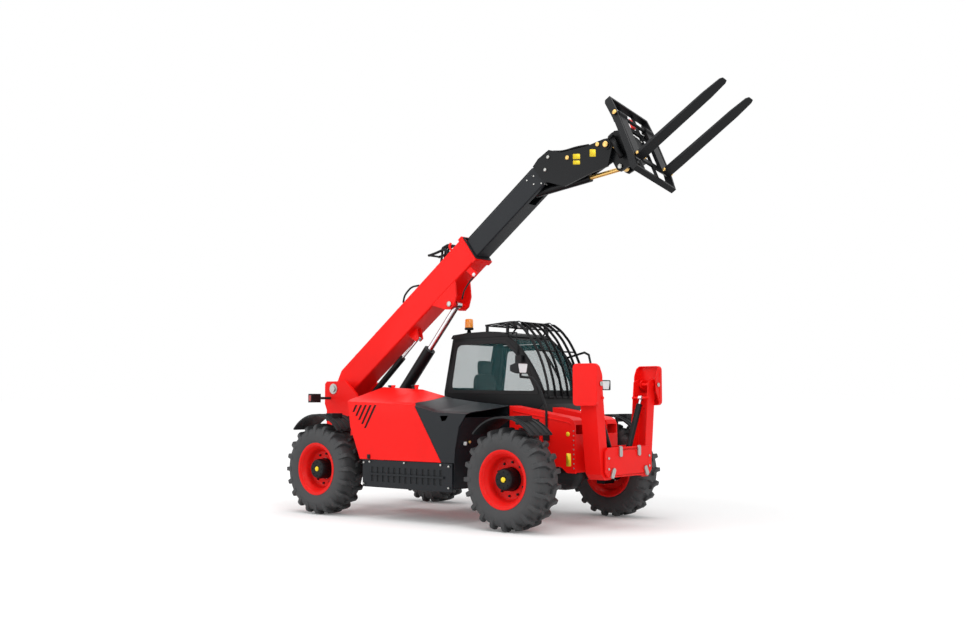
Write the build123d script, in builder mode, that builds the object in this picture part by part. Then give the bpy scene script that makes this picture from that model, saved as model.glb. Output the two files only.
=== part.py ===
"""Telescopic handler with a telescopic boom, pallet forks, four-wheel steering and front stabilisers.

Millimetres and degrees. +X forward, +Y left, +Z up. The origin is on the ground, under the
middle of the overall length and width, with the boom half raised and retracted.
"""
import os
from math import cos, radians, sin, sqrt

from build123d import *

os.makedirs("parts", exist_ok=True)

# ---------------------------------------------------------------- driving dimensions
wheelbase = 3080
overall_width = 2550
wheelbase_mid_x = -786          # middle of the wheelbase, behind the middle of the overall length
tyre_radius = 585
tyre_width = 400
rim_radius = 335
kingpin_inset = 140             # kingpin inboard of the wheel's middle
pin_clearance = 0.25            # radial, pins and rods in their bores
seat_gap = 0.3                  # bearing faces that slide on each other
panel_gap = 6                   # between doors, bonnets and their frames

front_axle_x = wheelbase_mid_x + wheelbase / 2
rear_axle_x = wheelbase_mid_x - wheelbase / 2
wheel_y = (overall_width - tyre_width) / 2
kingpin_y = wheel_y - kingpin_inset

# boom
boom_angle = 37
boom_y = -40
boom_pivot_x = wheelbase_mid_x - 2180
boom_pivot_z = 1630
outer_width, outer_low, outer_high = 320, -160, 220
outer_rear, outer_front = -150, 2960
inner_width, inner_low, inner_high = 260, -124, 147
inner_rear, inner_front = 150, 4340
boom_wall = 10

# chassis
frame_half = 310                # half the distance over the two long plates
frame_plate = 30
frame_low, frame_high = 430, 930
axle_seat_z = 720

# cab
cab_right, cab_left = 200, 1150
cab_wall = 35
cab_floor_z = 720

# stabilisers
stabiliser_x = front_axle_x + 750      # middle of the legs
stabiliser_half = 105
leg_pivot_y, leg_pivot_z = 360, 650


# ---------------------------------------------------------------- drawing helpers
def side_plane(y):
    """Seen from the right: local (x, z), growing towards -Y."""
    return Plane(origin=(0, y, 0), x_dir=(1, 0, 0), z_dir=(0, -1, 0))


def cross_plane(x):
    """Seen from the front: local (y, z), growing towards +X."""
    return Plane(origin=(x, 0, 0), x_dir=(0, 1, 0), z_dir=(1, 0, 0))


def boom_plane(offset=0.0):
    """Seen from the right: local (along, across the boom), growing towards -Y."""
    return Plane(
        origin=(boom_pivot_x, boom_y + offset, boom_pivot_z),
        x_dir=(cos(radians(boom_angle)), 0, sin(radians(boom_angle))),
        z_dir=(0, -1, 0),
    )


def boom_point(along, across, y=boom_y):
    """A point on the boom in the machine's own frame."""
    c, s = cos(radians(boom_angle)), sin(radians(boom_angle))
    return (boom_pivot_x + along * c - across * s, y, boom_pivot_z + along * s + across * c)


def slab(plane, outline, depth, mode=Mode.ADD):
    """Extrude a closed outline on a plane, in the open part."""
    with BuildSketch(plane, mode=Mode.PRIVATE) as face:
        Polygon(*outline)
    extrude(face.sketch, amount=depth, mode=mode)


def block(x, y, z, mode=Mode.ADD):
    """A box between pairs of x, y and z, in the open part."""
    with Locations(((x[0] + x[1]) / 2, (y[0] + y[1]) / 2, (z[0] + z[1]) / 2)):
        Box(abs(x[1] - x[0]), abs(y[1] - y[0]), abs(z[1] - z[0]), mode=mode)


def bar(start, end, radius, mode=Mode.ADD):
    """A round bar between two points, in the open part."""
    run = Vector(*end) - Vector(*start)
    with Locations(Plane(origin=start, z_dir=run).location):
        Cylinder(radius, run.length, align=(Align.CENTER, Align.CENTER, Align.MIN), mode=mode)


def cross_bar(x, z, y0, y1, radius, mode=Mode.ADD):
    """A round bar along Y, in the open part."""
    bar((x, min(y0, y1), z), (x, max(y0, y1), z), radius, mode)


def ahead(points, x=wheelbase_mid_x):
    """Shift (x, z) points given from a station along the machine."""
    return [(x + px, pz) for px, pz in points]


def save(piece, name):
    """Label one finished piece and write its STEP file."""
    piece.part.label = name
    export_step(piece.part, f"parts/{name}.step")


# ---------------------------------------------------------------- hydraulic cylinders
# each: base pin, rod's eye (x, y, z), pin axis, barrel radius, rod radius, barrel length from the
# base pin, rod length back from its eye, eye radius, pin radius, eye width
def cylinder_plane(base, eye, pin_axis):
    run = Vector(*eye) - Vector(*base)
    return Plane(origin=base, x_dir=run, z_dir=pin_axis), run.length


def cylinder_barrel(base, eye, pin_axis, size):
    """A barrel, closed behind, with a gland in front and an eye round its base pin."""
    plane, _ = cylinder_plane(base, eye, pin_axis)
    outer, bore_end, mouth = size["barrel"], size["eye"] * 1.5, size["barrel_length"]
    bore = outer - size["wall"]
    gland = size["rod"] + pin_clearance
    with BuildPart() as barrel:
        with BuildSketch(plane):
            Polygon(
                (size["eye"] * 0.8, 0), (size["eye"] * 0.8, outer * 0.7), (bore_end - size["wall"], outer),
                (mouth, outer), (mouth, gland), (mouth - size["gland"], gland),
                (mouth - size["gland"], bore), (bore_end, bore), (bore_end, 0),
            )
        revolve(axis=Axis(plane.origin, plane.x_dir))
        with BuildSketch(plane.offset(-size["eye_width"] / 2)):
            Circle(size["eye"])
        extrude(amount=size["eye_width"])
        with BuildSketch(plane.offset(-size["eye_width"])):
            Circle(size["pin"] + pin_clearance)
        extrude(amount=2 * size["eye_width"], mode=Mode.SUBTRACT)
    return barrel


def cylinder_rod(base, eye, pin_axis, size):
    """A rod inside its barrel, with an eye at its far end."""
    plane, length = cylinder_plane(base, eye, pin_axis)
    far = plane.origin + plane.x_dir * length
    eye_plane = Plane(origin=far, x_dir=plane.x_dir, z_dir=plane.z_dir)
    with BuildPart() as rod:
        bar(
            tuple(plane.origin + plane.x_dir * (length - size["rod_length"])),
            tuple(plane.origin + plane.x_dir * (length - size["eye"] * 0.6)),
            size["rod"],
        )
        with BuildSketch(eye_plane.offset(-size["eye_width"] / 2)):
            Circle(size["eye"])
        extrude(amount=size["eye_width"])
        with BuildSketch(eye_plane.offset(-size["eye_width"])):
            Circle(size["pin"] + pin_clearance)
        extrude(amount=2 * size["eye_width"], mode=Mode.SUBTRACT)
    return rod


# ---------------------------------------------------------------- boom
# pins on the boom, as (along, across)
lift_pin = (2272, -341)
level_pin = (1465, -259)
tilt_base_pin = (4050, -30)
carriage_pin = (5280, -410)
lift_base = (wheelbase_mid_x - 1795, boom_y, 800)
level_base = (wheelbase_mid_x - 2000, boom_y, 1310)

collar_length, collar_proud = 70, 12
lug_plate = 25

with BuildPart() as boom_outer:
    half = outer_width / 2
    slab(
        boom_plane(half),
        [(outer_rear, -60), (-60, outer_low), (outer_front, outer_low), (outer_front, outer_high),
         (170, outer_high), (outer_rear, 70)],
        outer_width,
    )
    fillet(boom_outer.edges().filter_by(Axis(boom_point(0, 0), boom_plane().x_dir)), 22)
    slab(
        boom_plane(half + collar_proud),
        [(outer_front - collar_length, outer_low - collar_proud), (outer_front, outer_low - collar_proud),
         (outer_front, outer_high + collar_proud), (outer_front - collar_length, outer_high + collar_proud)],
        outer_width + 2 * collar_proud,
    )
    inside_low, inside_high = outer_low + boom_wall, outer_high - boom_wall
    slab(
        boom_plane(half - boom_wall),
        [(120, inside_low), (outer_front + 1, inside_low), (outer_front + 1, inside_high), (120, inside_high)],
        outer_width - 2 * boom_wall,
        Mode.SUBTRACT,
    )
    # wear pads inside the collar, one pair a side
    pad_run = (outer_front - 160, outer_front - 10)
    for side in (-1, 1):
        y_in, y_out = side * (inner_width / 2 + seat_gap), side * (half - boom_wall)
        slab(
            boom_plane(max(y_in, y_out)),
            [(pad_run[0], -80), (pad_run[1], -80), (pad_run[1], 100), (pad_run[0], 100)],
            abs(y_out - y_in),
        )
        for low, high in ((inside_low, inner_low - seat_gap), (inner_high + seat_gap, inside_high)):
            slab(
                boom_plane(side * 104 + 18),
                [(pad_run[0], low), (pad_run[1], low), (pad_run[1], high), (pad_run[0], high)],
                36,
            )
    # lift cylinder lugs flush with the tube's sides, then the smaller levelling lugs
    for side in (-1, 1):
        outer_face, inner_face = side * half, side * (half - lug_plate)
        u, v = lift_pin
        slab(
            boom_plane(max(outer_face, inner_face)),
            [(u - 250, outer_low + 5), (u + 250, outer_low + 5), (u + 150, v + 20), (u + 40, v - 60),
             (u - 40, v - 60), (u - 110, v)],
            lug_plate,
        )
        stub = (boom_point(u, v, boom_y + side * 58), boom_point(u, v, boom_y + side * (half + 14)))
        bar(*stub, 28)
        u, v = level_pin
        slab(
            boom_plane(side * 42 + 8),
            [(u - 90, outer_low + 5), (u + 90, outer_low + 5), (u + 30, v - 28), (u - 30, v - 28)],
            16,
        )
    # pivot tube, bored for the pivot pin
    bar(boom_point(0, 0, boom_y - 260), boom_point(0, 0, boom_y + 260), 85)
    bar(boom_point(0, 0, boom_y - 400), boom_point(0, 0, boom_y + 400), 45 + pin_clearance, Mode.SUBTRACT)
save(boom_outer, "boom_outer")

tray_half, tray_high = 75, 198
with BuildPart() as boom_inner:
    half = inner_width / 2
    slab(
        boom_plane(half),
        [(inner_rear, inner_low), (inner_front, inner_low), (inner_front, inner_high), (inner_rear, inner_high)],
        inner_width,
    )
    fillet(boom_inner.edges().filter_by(Axis(boom_point(0, 0), boom_plane().x_dir)), 16)
    low, high = inner_low + boom_wall, inner_high - boom_wall
    slab(
        boom_plane(half - boom_wall),
        [(inner_rear - 1, low), (inner_front + 1, low), (inner_front + 1, high), (inner_rear - 1, high)],
        inner_width - 2 * boom_wall,
        Mode.SUBTRACT,
    )
    # slot in the floor for the tilt cylinder, and its base pin
    slab(
        boom_plane(70),
        [(3970, inner_low - 1), (inner_front + 1, inner_low - 1), (inner_front + 1, low + 1), (3970, low + 1)],
        140,
        Mode.SUBTRACT,
    )
    bar(
        boom_point(*tilt_base_pin, boom_y - half + 5), boom_point(*tilt_base_pin, boom_y + half - 5), 25
    )
    # hose tray along the top
    slab(
        boom_plane(tray_half),
        [(600, inner_high - 1), (inner_front - 20, inner_high - 1), (inner_front - 20, tray_high - 20),
         (inner_front - 60, tray_high), (640, tray_high), (600, tray_high - 20)],
        2 * tray_half,
    )
save(boom_inner, "boom_inner")

# ---------------------------------------------------------------- boom head
head_half, head_plate = 155, 25
head_start = inner_front
with BuildPart() as boom_head:
    crown = [(head_start, 150), (4454, 171), (4640, 146), (4757, -17), (5054, -213), (5290, -325),
             (5352, -370), (5362, -430), (5325, -480)]
    jaws = {-1: [(5134, -624), (4889, -513), (4538, -382), (4376, -150), (head_start, -150)],
            1: [(5241, -493), (4603, -353), (4388, -144), (head_start, -150)]}
    for side in (-1, 1):
        slab(
            boom_plane(side * (head_half - head_plate / 2) + head_plate / 2),
            crown + jaws[side],
            head_plate,
        )
        # boss round the carriage pin
        boss = [boom_point(*carriage_pin, boom_y + side * y) for y in (head_half - head_plate - 15, head_half + 12)]
        bar(*boss, 62)
    slab(
        boom_plane(head_half - head_plate),
        [(head_start, 150), (4454, 171), (4640, 146), (4757, -17), (5054, -213), (5044, -232), (4742, -35),
         (4628, 126), (4454, 150), (head_start, 130)],
        2 * (head_half - head_plate),
    )
    slab(
        boom_plane(head_half - head_plate),
        [(head_start, -50), (head_start + 20, -50), (head_start + 20, 140), (head_start, 140)],
        2 * (head_half - head_plate),
    )
    # bolted flange against the inner tube's end
    slab(
        boom_plane(head_half),
        [(head_start, inner_low - 26), (head_start + 14, inner_low - 26), (head_start + 14, low),
         (head_start, low)],
        2 * head_half,
    )
    slab(
        boom_plane(72),
        [(head_start - 1, inner_low - 30), (head_start + 30, inner_low - 30), (head_start + 30, -52),
         (head_start - 1, -52)],
        144,
        Mode.SUBTRACT,
    )
    bar(boom_point(*carriage_pin, boom_y - head_half - 25), boom_point(*carriage_pin, boom_y + head_half + 25), 35)
save(boom_head, "boom_head")

# ---------------------------------------------------------------- fork carriage
lug_angle = 29.3                 # carriage lugs above the horizontal at rest
blade_angle, blade_roll = 32.3, 19.3     # blades above the horizontal, frame's left side turned down
frame_drop = 199                 # swivel below the carriage pin
tilt_eye = (0, -313)
fork_y, fork_width, fork_reach = 239, 130, 1623
fork_shaft = (326, 300)
side_y, side_plate = 344, 25
swivel_face = 240


def angled_axes(angle, roll=0.0):
    """Unit directions along the blades, up the carriage and to its left, for an angle and a roll."""
    c, s, cr, sr = cos(radians(angle)), sin(radians(angle)), cos(radians(roll)), sin(radians(roll))
    return Vector(c, 0, s), Vector(-s * cr, sr, c * cr), Vector(s * sr, cr, -c * sr)


pin_x, _, pin_z = boom_point(*carriage_pin)
carriage_pin_at = Vector(pin_x, boom_y, pin_z)
lug_ahead, lug_up, lug_left = angled_axes(lug_angle)
blade_ahead, blade_up, blade_left = angled_axes(blade_angle, blade_roll)
swivel_at = carriage_pin_at - angled_axes(blade_angle)[1] * frame_drop


def carriage_plane(offset=0.0):
    """Seen from the right: local (along, up) the carriage's lugs, from the carriage pin."""
    return Plane(origin=carriage_pin_at + lug_left * offset, x_dir=lug_ahead, z_dir=lug_left * -1)


def carriage_point(along, up, y=0.0):
    return tuple(carriage_pin_at + lug_ahead * along + lug_up * up + lug_left * y)


def frame_plane(offset=0.0):
    """Seen from the right: local (along the blades, up the fork frame), from the swivel."""
    return Plane(origin=swivel_at + blade_left * offset, x_dir=blade_ahead, z_dir=blade_left * -1)


def frame_point(along, up, y=0.0):
    return tuple(swivel_at + blade_ahead * along + blade_up * up + blade_left * y)


def bars_across(rows, half):
    """Rectangular bars across the fork frame: (along0, along1, up0, up1)."""
    for a0, a1, n0, n1 in rows:
        slab(frame_plane(half), [(a0, n0), (a1, n0), (a1, n1), (a0, n1)], 2 * half)


with BuildPart() as carriage:
    for side in (-1, 1):
        # lugs round the carriage pin and the tilt cylinder's eye
        slab(
            carriage_plane(side * 85 + 15),
            [(-60, -20), (-40, 45), (20, 66), (140, 110), (222, 60), (222, -400), (40, -372), (-30, -365),
             (-58, -320)],
            30,
        )
        bar(carriage_point(*tilt_eye, side * 52), carriage_point(*tilt_eye, side * 110), 24)
    slab(carriage_plane(75), [(190, -395), (222, -400), (222, 60), (190, 80)], 150)
    bar(frame_point(196, 0), frame_point(swivel_face, 0), 185)
    bar(carriage_point(0, 0, -200), carriage_point(0, 0, 200), 35 + pin_clearance, Mode.SUBTRACT)
save(carriage, "carriage")

with BuildPart() as fork_frame:
    for side in (-1, 1):
        slab(
            frame_plane(side * (side_y - side_plate / 2) + side_plate / 2),
            [(244, 560), (262, 599), (338, 599), (352, 330), (348, -430), (330, -632), (262, -632),
             (244, -560), (272, -300), (272, 200)],
            side_plate,
        )
        slab(frame_plane(side * 120 + 12), [(262, -600), (292, -600), (292, 570), (262, 570)], 24)
    bar(frame_point(swivel_face + seat_gap, 0), frame_point(275, 0), 150)
    bars_across([(262, 338, 569, 599), (262, 332, -632, -600), (266, 292, 190, 260), (266, 292, -330, -260)],
                side_y - 1)
    bar(frame_point(*fork_shaft, -side_y - 14), frame_point(*fork_shaft, side_y + 14), 20)
save(fork_frame, "fork_frame")

with BuildPart() as forks:
    for side in (-1, 1):
        slab(
            frame_plane(side * fork_y + fork_width / 2),
            [(304, 262), (304, -415), (330, -445), (560, -445), (fork_reach, -420), (fork_reach, -406),
             (fork_reach - 30, -400), (358, -400), (348, -390), (348, 262)],
            fork_width,
        )
        bar(frame_point(*fork_shaft, side * fork_y - fork_width / 2),
            frame_point(*fork_shaft, side * fork_y + fork_width / 2), 44)
    bar(frame_point(*fork_shaft, -side_y), frame_point(*fork_shaft, side_y), 20 + pin_clearance, Mode.SUBTRACT)
    # rounded tips in plan
    for side in (-1, 1):
        tip_plane = Plane(
            origin=frame_point(fork_reach, -500, side * fork_y), x_dir=blade_ahead, z_dir=blade_up,
        )
        half_width = fork_width / 2
        for edge in (-1, 1):
            slab(
                tip_plane,
                [(1, edge * (half_width + 1)), (1, edge * half_width * 0.5), (-35, edge * half_width * 0.78),
                 (-260, edge * (half_width + 1))],
                200,
                Mode.SUBTRACT,
            )
save(forks, "forks")

# ---------------------------------------------------------------- cylinders on the boom
cylinder_sizes = {
    "lift": dict(barrel=80, wall=12, rod=40, gland=70, eye=44, pin=28, eye_width=90,
                 barrel_length=1770, rod_length=1230),
    "level": dict(barrel=42, wall=8, rod=18, gland=40, eye=26, pin=14, eye_width=50,
                  barrel_length=1130, rod_length=650),
    "tilt": dict(barrel=50, wall=8, rod=27, gland=40, eye=42, pin=25, eye_width=70,
                 barrel_length=890, rod_length=690),
}
boom_cylinders = {
    "lift": (lift_base, boom_point(*lift_pin)),
    "level": (level_base, boom_point(*level_pin)),
    "tilt": (boom_point(*tilt_base_pin), carriage_point(*tilt_eye)),
}
for name, (base, eye) in boom_cylinders.items():
    save(cylinder_barrel(base, eye, (0, -1, 0), cylinder_sizes[name]), f"{name}_barrel")
    save(cylinder_rod(base, eye, (0, -1, 0), cylinder_sizes[name]), f"{name}_rod")

# ---------------------------------------------------------------- wheels
corners = {
    "front_right": (front_axle_x, -1),
    "front_left": (front_axle_x, 1),
    "rear_right": (rear_axle_x, -1),
    "rear_left": (rear_axle_x, 1),
}
lug_count = 20                   # a side, one to each facet of the carcass
rim_facets = lug_count
lug_height = 42
bead_radius = 303
disc_out = 5                     # disc's outer face, outboard of the wheel's middle
hub_radius, hub_face = 135, 158
spindle_radius, spindle_end = 70, 60

half_tyre = tyre_width / 2
carcass = [                      # (outboard of the wheel's middle, radius), closed section
    (166, tyre_radius - lug_height - 6), (half_tyre, 440), (174, rim_radius + 3), (174, bead_radius),
]
# lug seen from outside the tread: (outboard, round the tread)
lug_plan = [(6, 52), (6, 8), (104, -44), (205, -44), (205, 6)]
lug_top = sqrt(tyre_radius**2 - 52**2)
lug_section = [                  # (outboard, radius): top of the lug, then down the shoulder
    (-1, lug_top), (156, lug_top - 6), (half_tyre - 2, tyre_radius - 100), (-1, tyre_radius - lug_height - 30),
]
rim_depth, rim_wall, rim_well = 175, 9, 262


def wheel_section(turn=0.0):
    """Half-section plane of a right-hand wheel at the origin: local (outboard, radius)."""
    a = radians(turn)
    return Plane(origin=(0, 0, 0), x_dir=(0, -1, 0), z_dir=(-cos(a), 0, sin(a)))


def ring_sector(section, count):
    """One facet of a closed section carried round the Y axis in `count` mitred facets."""
    reach = (tyre_radius + 20) * 2 * sin(radians(180 / count)) / cos(radians(180 / count))
    with BuildPart() as sector:
        slab(wheel_section().offset(-reach / 2), section, reach)
        for turn in (180 / count, -180 / count):
            a = radians(turn)
            cut = Plane(origin=(0, 0, 0), x_dir=(0, 1, 0), z_dir=(cos(a), 0, -sin(a)))
            split(bisect_by=cut, keep=Keep.BOTTOM if turn > 0 else Keep.TOP)
    return sector.part


def round_the_axle(shapes, count):
    """Copies of the shapes at equal turns about the Y axis."""
    turns = [Location((0, 0, 0), (0, 1, 0), i * 360 / count) for i in range(count)]
    return [shape.moved(turn) for turn in turns for shape in shapes]


def build_tyre():
    """A right-hand tyre about the Y axis at the origin, outboard towards -Y."""
    with BuildPart() as lug:
        slab(wheel_section().offset(-110), lug_section, 220)
        slab(Plane(origin=(0, 0, tyre_radius + 5), x_dir=(0, -1, 0), z_dir=(0, 0, -1)), lug_plan, 200,
             Mode.INTERSECT)
    half_pitch = Location((0, 0, 0), (0, 1, 0), 180 / lug_count)
    other = mirror(lug.part, about=Plane.XZ).moved(half_pitch)
    sector = ring_sector([*carcass, *[(-y, r) for y, r in reversed(carcass)]], lug_count)
    with BuildPart() as tyre:
        add(round_the_axle([sector], lug_count))
        add(round_the_axle([lug.part, other], lug_count))
    return tyre.part


def build_rim():
    """A right-hand rim with its hub, about the Y axis at the origin, outboard towards -Y."""
    seat = bead_radius - seat_gap
    section = [
        (rim_depth, rim_radius), (rim_depth, seat - rim_wall), (96, rim_well - rim_wall),
        (disc_out, rim_well - rim_wall), (disc_out, hub_radius - 2), (disc_out - 18, hub_radius - 2),
        (disc_out - 18, rim_well - rim_wall), (-rim_depth, rim_well - rim_wall),
        (-rim_depth, rim_radius), (-rim_depth + 0.5, rim_radius), (-rim_depth + 0.5, seat),
        (-130, seat), (-110, rim_well), (90, rim_well), (110, seat), (rim_depth - 0.7, seat),
        (rim_depth - 0.7, rim_radius),
    ]
    sector = ring_sector(section, rim_facets)
    with BuildPart() as rim:
        add(round_the_axle([sector], rim_facets))
        with BuildSketch(wheel_section()):
            Polygon(
                (disc_out, hub_radius), (hub_face - 20, hub_radius), (hub_face, hub_radius - 18),
                (hub_face, 0), (spindle_end + 6, 0), (spindle_end + 6, spindle_radius + pin_clearance),
                (-48, spindle_radius + pin_clearance), (-48, hub_radius - 30), (disc_out - 18, hub_radius),
            )
        revolve(axis=Axis.Y)
    return rim.part


tyre_shape, rim_shape = build_tyre(), build_rim()
for corner, (x, side) in corners.items():
    for name, shape in (("tyre", tyre_shape), ("rim", rim_shape)):
        with BuildPart() as piece:
            placed = shape if side < 0 else mirror(shape, about=Plane.XZ, mode=Mode.PRIVATE)
            add(placed.moved(Location((x, side * wheel_y, tyre_radius))))
        save(piece, f"{name}_{corner}")

# ---------------------------------------------------------------- axles, knuckles and mudguards
yoke_reach = 50                  # yoke outboard of the kingpin
yoke_gap = 120                   # half the height between the yoke's arms
axle_z = tyre_radius
housing = [(-kingpin_y + 135, 88), (-300, 88), (-90, 190), (90, 190), (300, 88), (kingpin_y - 135, 88)]

with BuildPart() as axles:
    for x in (front_axle_x, rear_axle_x):
        # tube and differential housing as flat-sided lengths that swell in the middle
        for (y0, r0), (y1, r1) in zip(housing, housing[1:]):
            for y, r in ((y0, r0), (y1, r1)):
                with BuildSketch(Plane(origin=(x, y, axle_z), x_dir=(1, 0, 0), z_dir=(0, 1, 0))):
                    RegularPolygon(r, 12, rotation=15)
            loft(ruled=True)
        for side in (-1, 1):
            spine = (side * (kingpin_y - 190), side * (kingpin_y - 130))
            block((x - 55, x + 55), spine, (axle_z - yoke_gap - 40, axle_z + yoke_gap + 40))
            arm = (side * (kingpin_y - 135), side * (kingpin_y + yoke_reach))
            for up in (-1, 1):
                block((x - 55, x + 55), arm, (axle_z + up * yoke_gap, axle_z + up * (yoke_gap + 40)))
            # saddle under each long plate of the chassis
            seat_y = boom_y + side * (frame_half - frame_plate / 2)
            block((x - 110, x + 110), (seat_y - 30, seat_y + 30), (axle_z + 40, axle_seat_z))
save(axles, "axles")

guard_rise, guard_radius, guard_thick = 735, 538, 12     # centre height, inner radius, sheet
guard_half_angle = 50
post_out = 835                   # mudguard post, |y|
post_radius = 20
guard_in, guard_out = 872, 1270


def build_knuckle(x, side, post_ahead):
    """A swivel block between the yoke's arms, its spindle, and the post that carries the mudguard."""
    pin = (x, side * kingpin_y)
    with BuildPart() as knuckle:
        bar((*pin, axle_z - yoke_gap + seat_gap), (*pin, axle_z + yoke_gap - seat_gap), 58)
        out = side * (wheel_y + spindle_end)
        bar((x, pin[1], axle_z), (x, out, axle_z), spindle_radius)
        # cranked arm over the axle tube to the foot of the post
        y, arm_z = side * post_out, (axle_z + 92, axle_z + 112)
        block((x, x + post_ahead + 18), (side * (kingpin_y - 50), pin[1]), arm_z)
        block((x + post_ahead - 18, x + post_ahead + 18), (side * (post_out - 18), pin[1]), arm_z)
        top = guard_rise + sqrt(guard_radius**2 - post_ahead**2) - 18
        bar((x + post_ahead, y, arm_z[0]), (x + post_ahead, y, top + 40), post_radius)
        bar((x + post_ahead, y, top), (x + post_ahead, side * (guard_out - 40), top), post_radius - 2)
    return knuckle


def build_mudguard(x, side, post_ahead):
    """An arched sheet over the tyre, ribbed along its edges, with its clamp block on top."""
    inner, outer = guard_radius, guard_radius + guard_thick
    reach = (outer * 1.6, -outer * 1.6)
    tangent = sin(radians(guard_half_angle)) / cos(radians(guard_half_angle))
    with BuildPart() as guard:
        with BuildSketch(Plane(origin=(x, max(side * guard_in, side * guard_out), guard_rise),
                               x_dir=(1, 0, 0), z_dir=(0, -1, 0))):
            Circle(outer)
            Circle(inner, mode=Mode.SUBTRACT)
            Polygon((0, 0), (outer * tangent, outer), (0, outer * 2), (-outer * tangent, outer),
                    mode=Mode.INTERSECT)
        extrude(amount=guard_out - guard_in)
        for y0, y1 in ((guard_in, guard_in + 14), (guard_out - 14, guard_out)):
            with BuildSketch(Plane(origin=(x, max(side * y0, side * y1), guard_rise),
                                   x_dir=(1, 0, 0), z_dir=(0, -1, 0))):
                Circle(outer + 8)
                Circle(inner, mode=Mode.SUBTRACT)
                Polygon((0, 0), (outer * tangent, outer), (0, outer * 2), (-outer * tangent, outer),
                        mode=Mode.INTERSECT)
            extrude(amount=y1 - y0)
        top = guard_rise + sqrt(inner**2 - post_ahead**2)
        block((x + post_ahead - 70, x + post_ahead + 45), (side * 1000, side * 1180), (top, top + 62))
        bar((x + post_ahead, side * guard_in, top - 18), (x + post_ahead, side * guard_out, top - 18),
            post_radius - 2 + pin_clearance, Mode.SUBTRACT)
    return guard


guard_posts = {"front": 190, "rear": 180}
for corner, (x, side) in corners.items():
    post_ahead = guard_posts[corner.split("_")[0]]
    save(build_knuckle(x, side, post_ahead), f"knuckle_{corner}")
    save(build_mudguard(x, side, post_ahead), f"mudguard_{corner}")

# ---------------------------------------------------------------- chassis
plate_outer = {-1: boom_y - frame_half, 1: boom_y + frame_half}
front_end_x = wheelbase_mid_x + 1984
tail_x = wheelbase_mid_x - 2320
nose_half = 450
bay_inner_y, bonnet_side_y = -420, -1200
# stabilisers' cross beam, a plate behind and a plate ahead of the legs
beam_plate = 20
beam_rear = stabiliser_x - stabiliser_half - beam_plate - 15
beam_front = stabiliser_x + stabiliser_half + beam_plate + 15
beam_half, beam_z = 500, (600, 940)
jack_base_y, jack_base_z = 200, 890

with BuildPart() as pins:
    cross_bar(boom_pivot_x, boom_pivot_z, plate_outer[-1] - 30, plate_outer[1] + 30, 45)
    cross_bar(boom_pivot_x, boom_pivot_z, plate_outer[-1] - 14, plate_outer[-1], 72)
    for (x, _, z), radius in ((lift_base, 28), (level_base, 14)):
        cross_bar(x, z, plate_outer[-1] + 5, plate_outer[1] - 5, radius)
    for side in (-1, 1):
        for y, z, radius, proud in ((leg_pivot_y, leg_pivot_z, 30, 16), (jack_base_y, jack_base_z, 18, 11)):
            bar((beam_rear - proud, side * y, z), (beam_front + proud, side * y, z), radius)
save(pins, "pins")

# two long plates, each with a cheek that carries the boom's pivot
with BuildPart() as chassis:
    for side in (-1, 1):
        face = plate_outer[side]
        slab(
            side_plane(max(face, face - side * frame_plate)),
            ahead([(-2320, axle_seat_z), (-1330, axle_seat_z), (-1180, frame_low), (1180, frame_low),
                   (1330, axle_seat_z), (1984, axle_seat_z), (1984, frame_high), (-2320, frame_high)]),
            frame_plate,
        )
        slab(
            side_plane(max(face, face - side * 40)),
            ahead([(-2320, frame_high - 5), (-2320, 1330), (-2362, 1420), (-2362, 1700), (-2325, 1735),
                   (-1947, 1735), (-1742, 1561), (-1480, frame_high - 5)]),
            40,
        )
    add(pins.part, mode=Mode.SUBTRACT)
save(chassis, "chassis_frame")

across = (plate_outer[-1], plate_outer[1])
hitch_x, hitch_z, hitch_bore = tail_x - 75, 800, 16
with BuildPart() as cross_members:
    block((wheelbase_mid_x - 1190, wheelbase_mid_x + 1190), across, (frame_low, frame_low + 15))
    block((tail_x, tail_x + 25), across, (axle_seat_z, 1290))
    for x in (-1100, 1100):
        block((wheelbase_mid_x + x - 12, wheelbase_mid_x + x + 12), across, (frame_low, frame_low + 160))
    # tow hitch: two lugs behind the tail plate, bored for a drop pin
    for z in (hitch_z - 60, hitch_z + 35):
        block((hitch_x, tail_x + 1), (-55, 55), (z, z + 25))
        bar((hitch_x, 0, z), (hitch_x, 0, z + 25), 55)
        bar((hitch_x, 0, z - 1), (hitch_x, 0, z + 26), hitch_bore, Mode.SUBTRACT)
    for carrier in (chassis, pins):
        add(carrier.part, mode=Mode.SUBTRACT)
save(cross_members, "cross_members")

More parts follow.
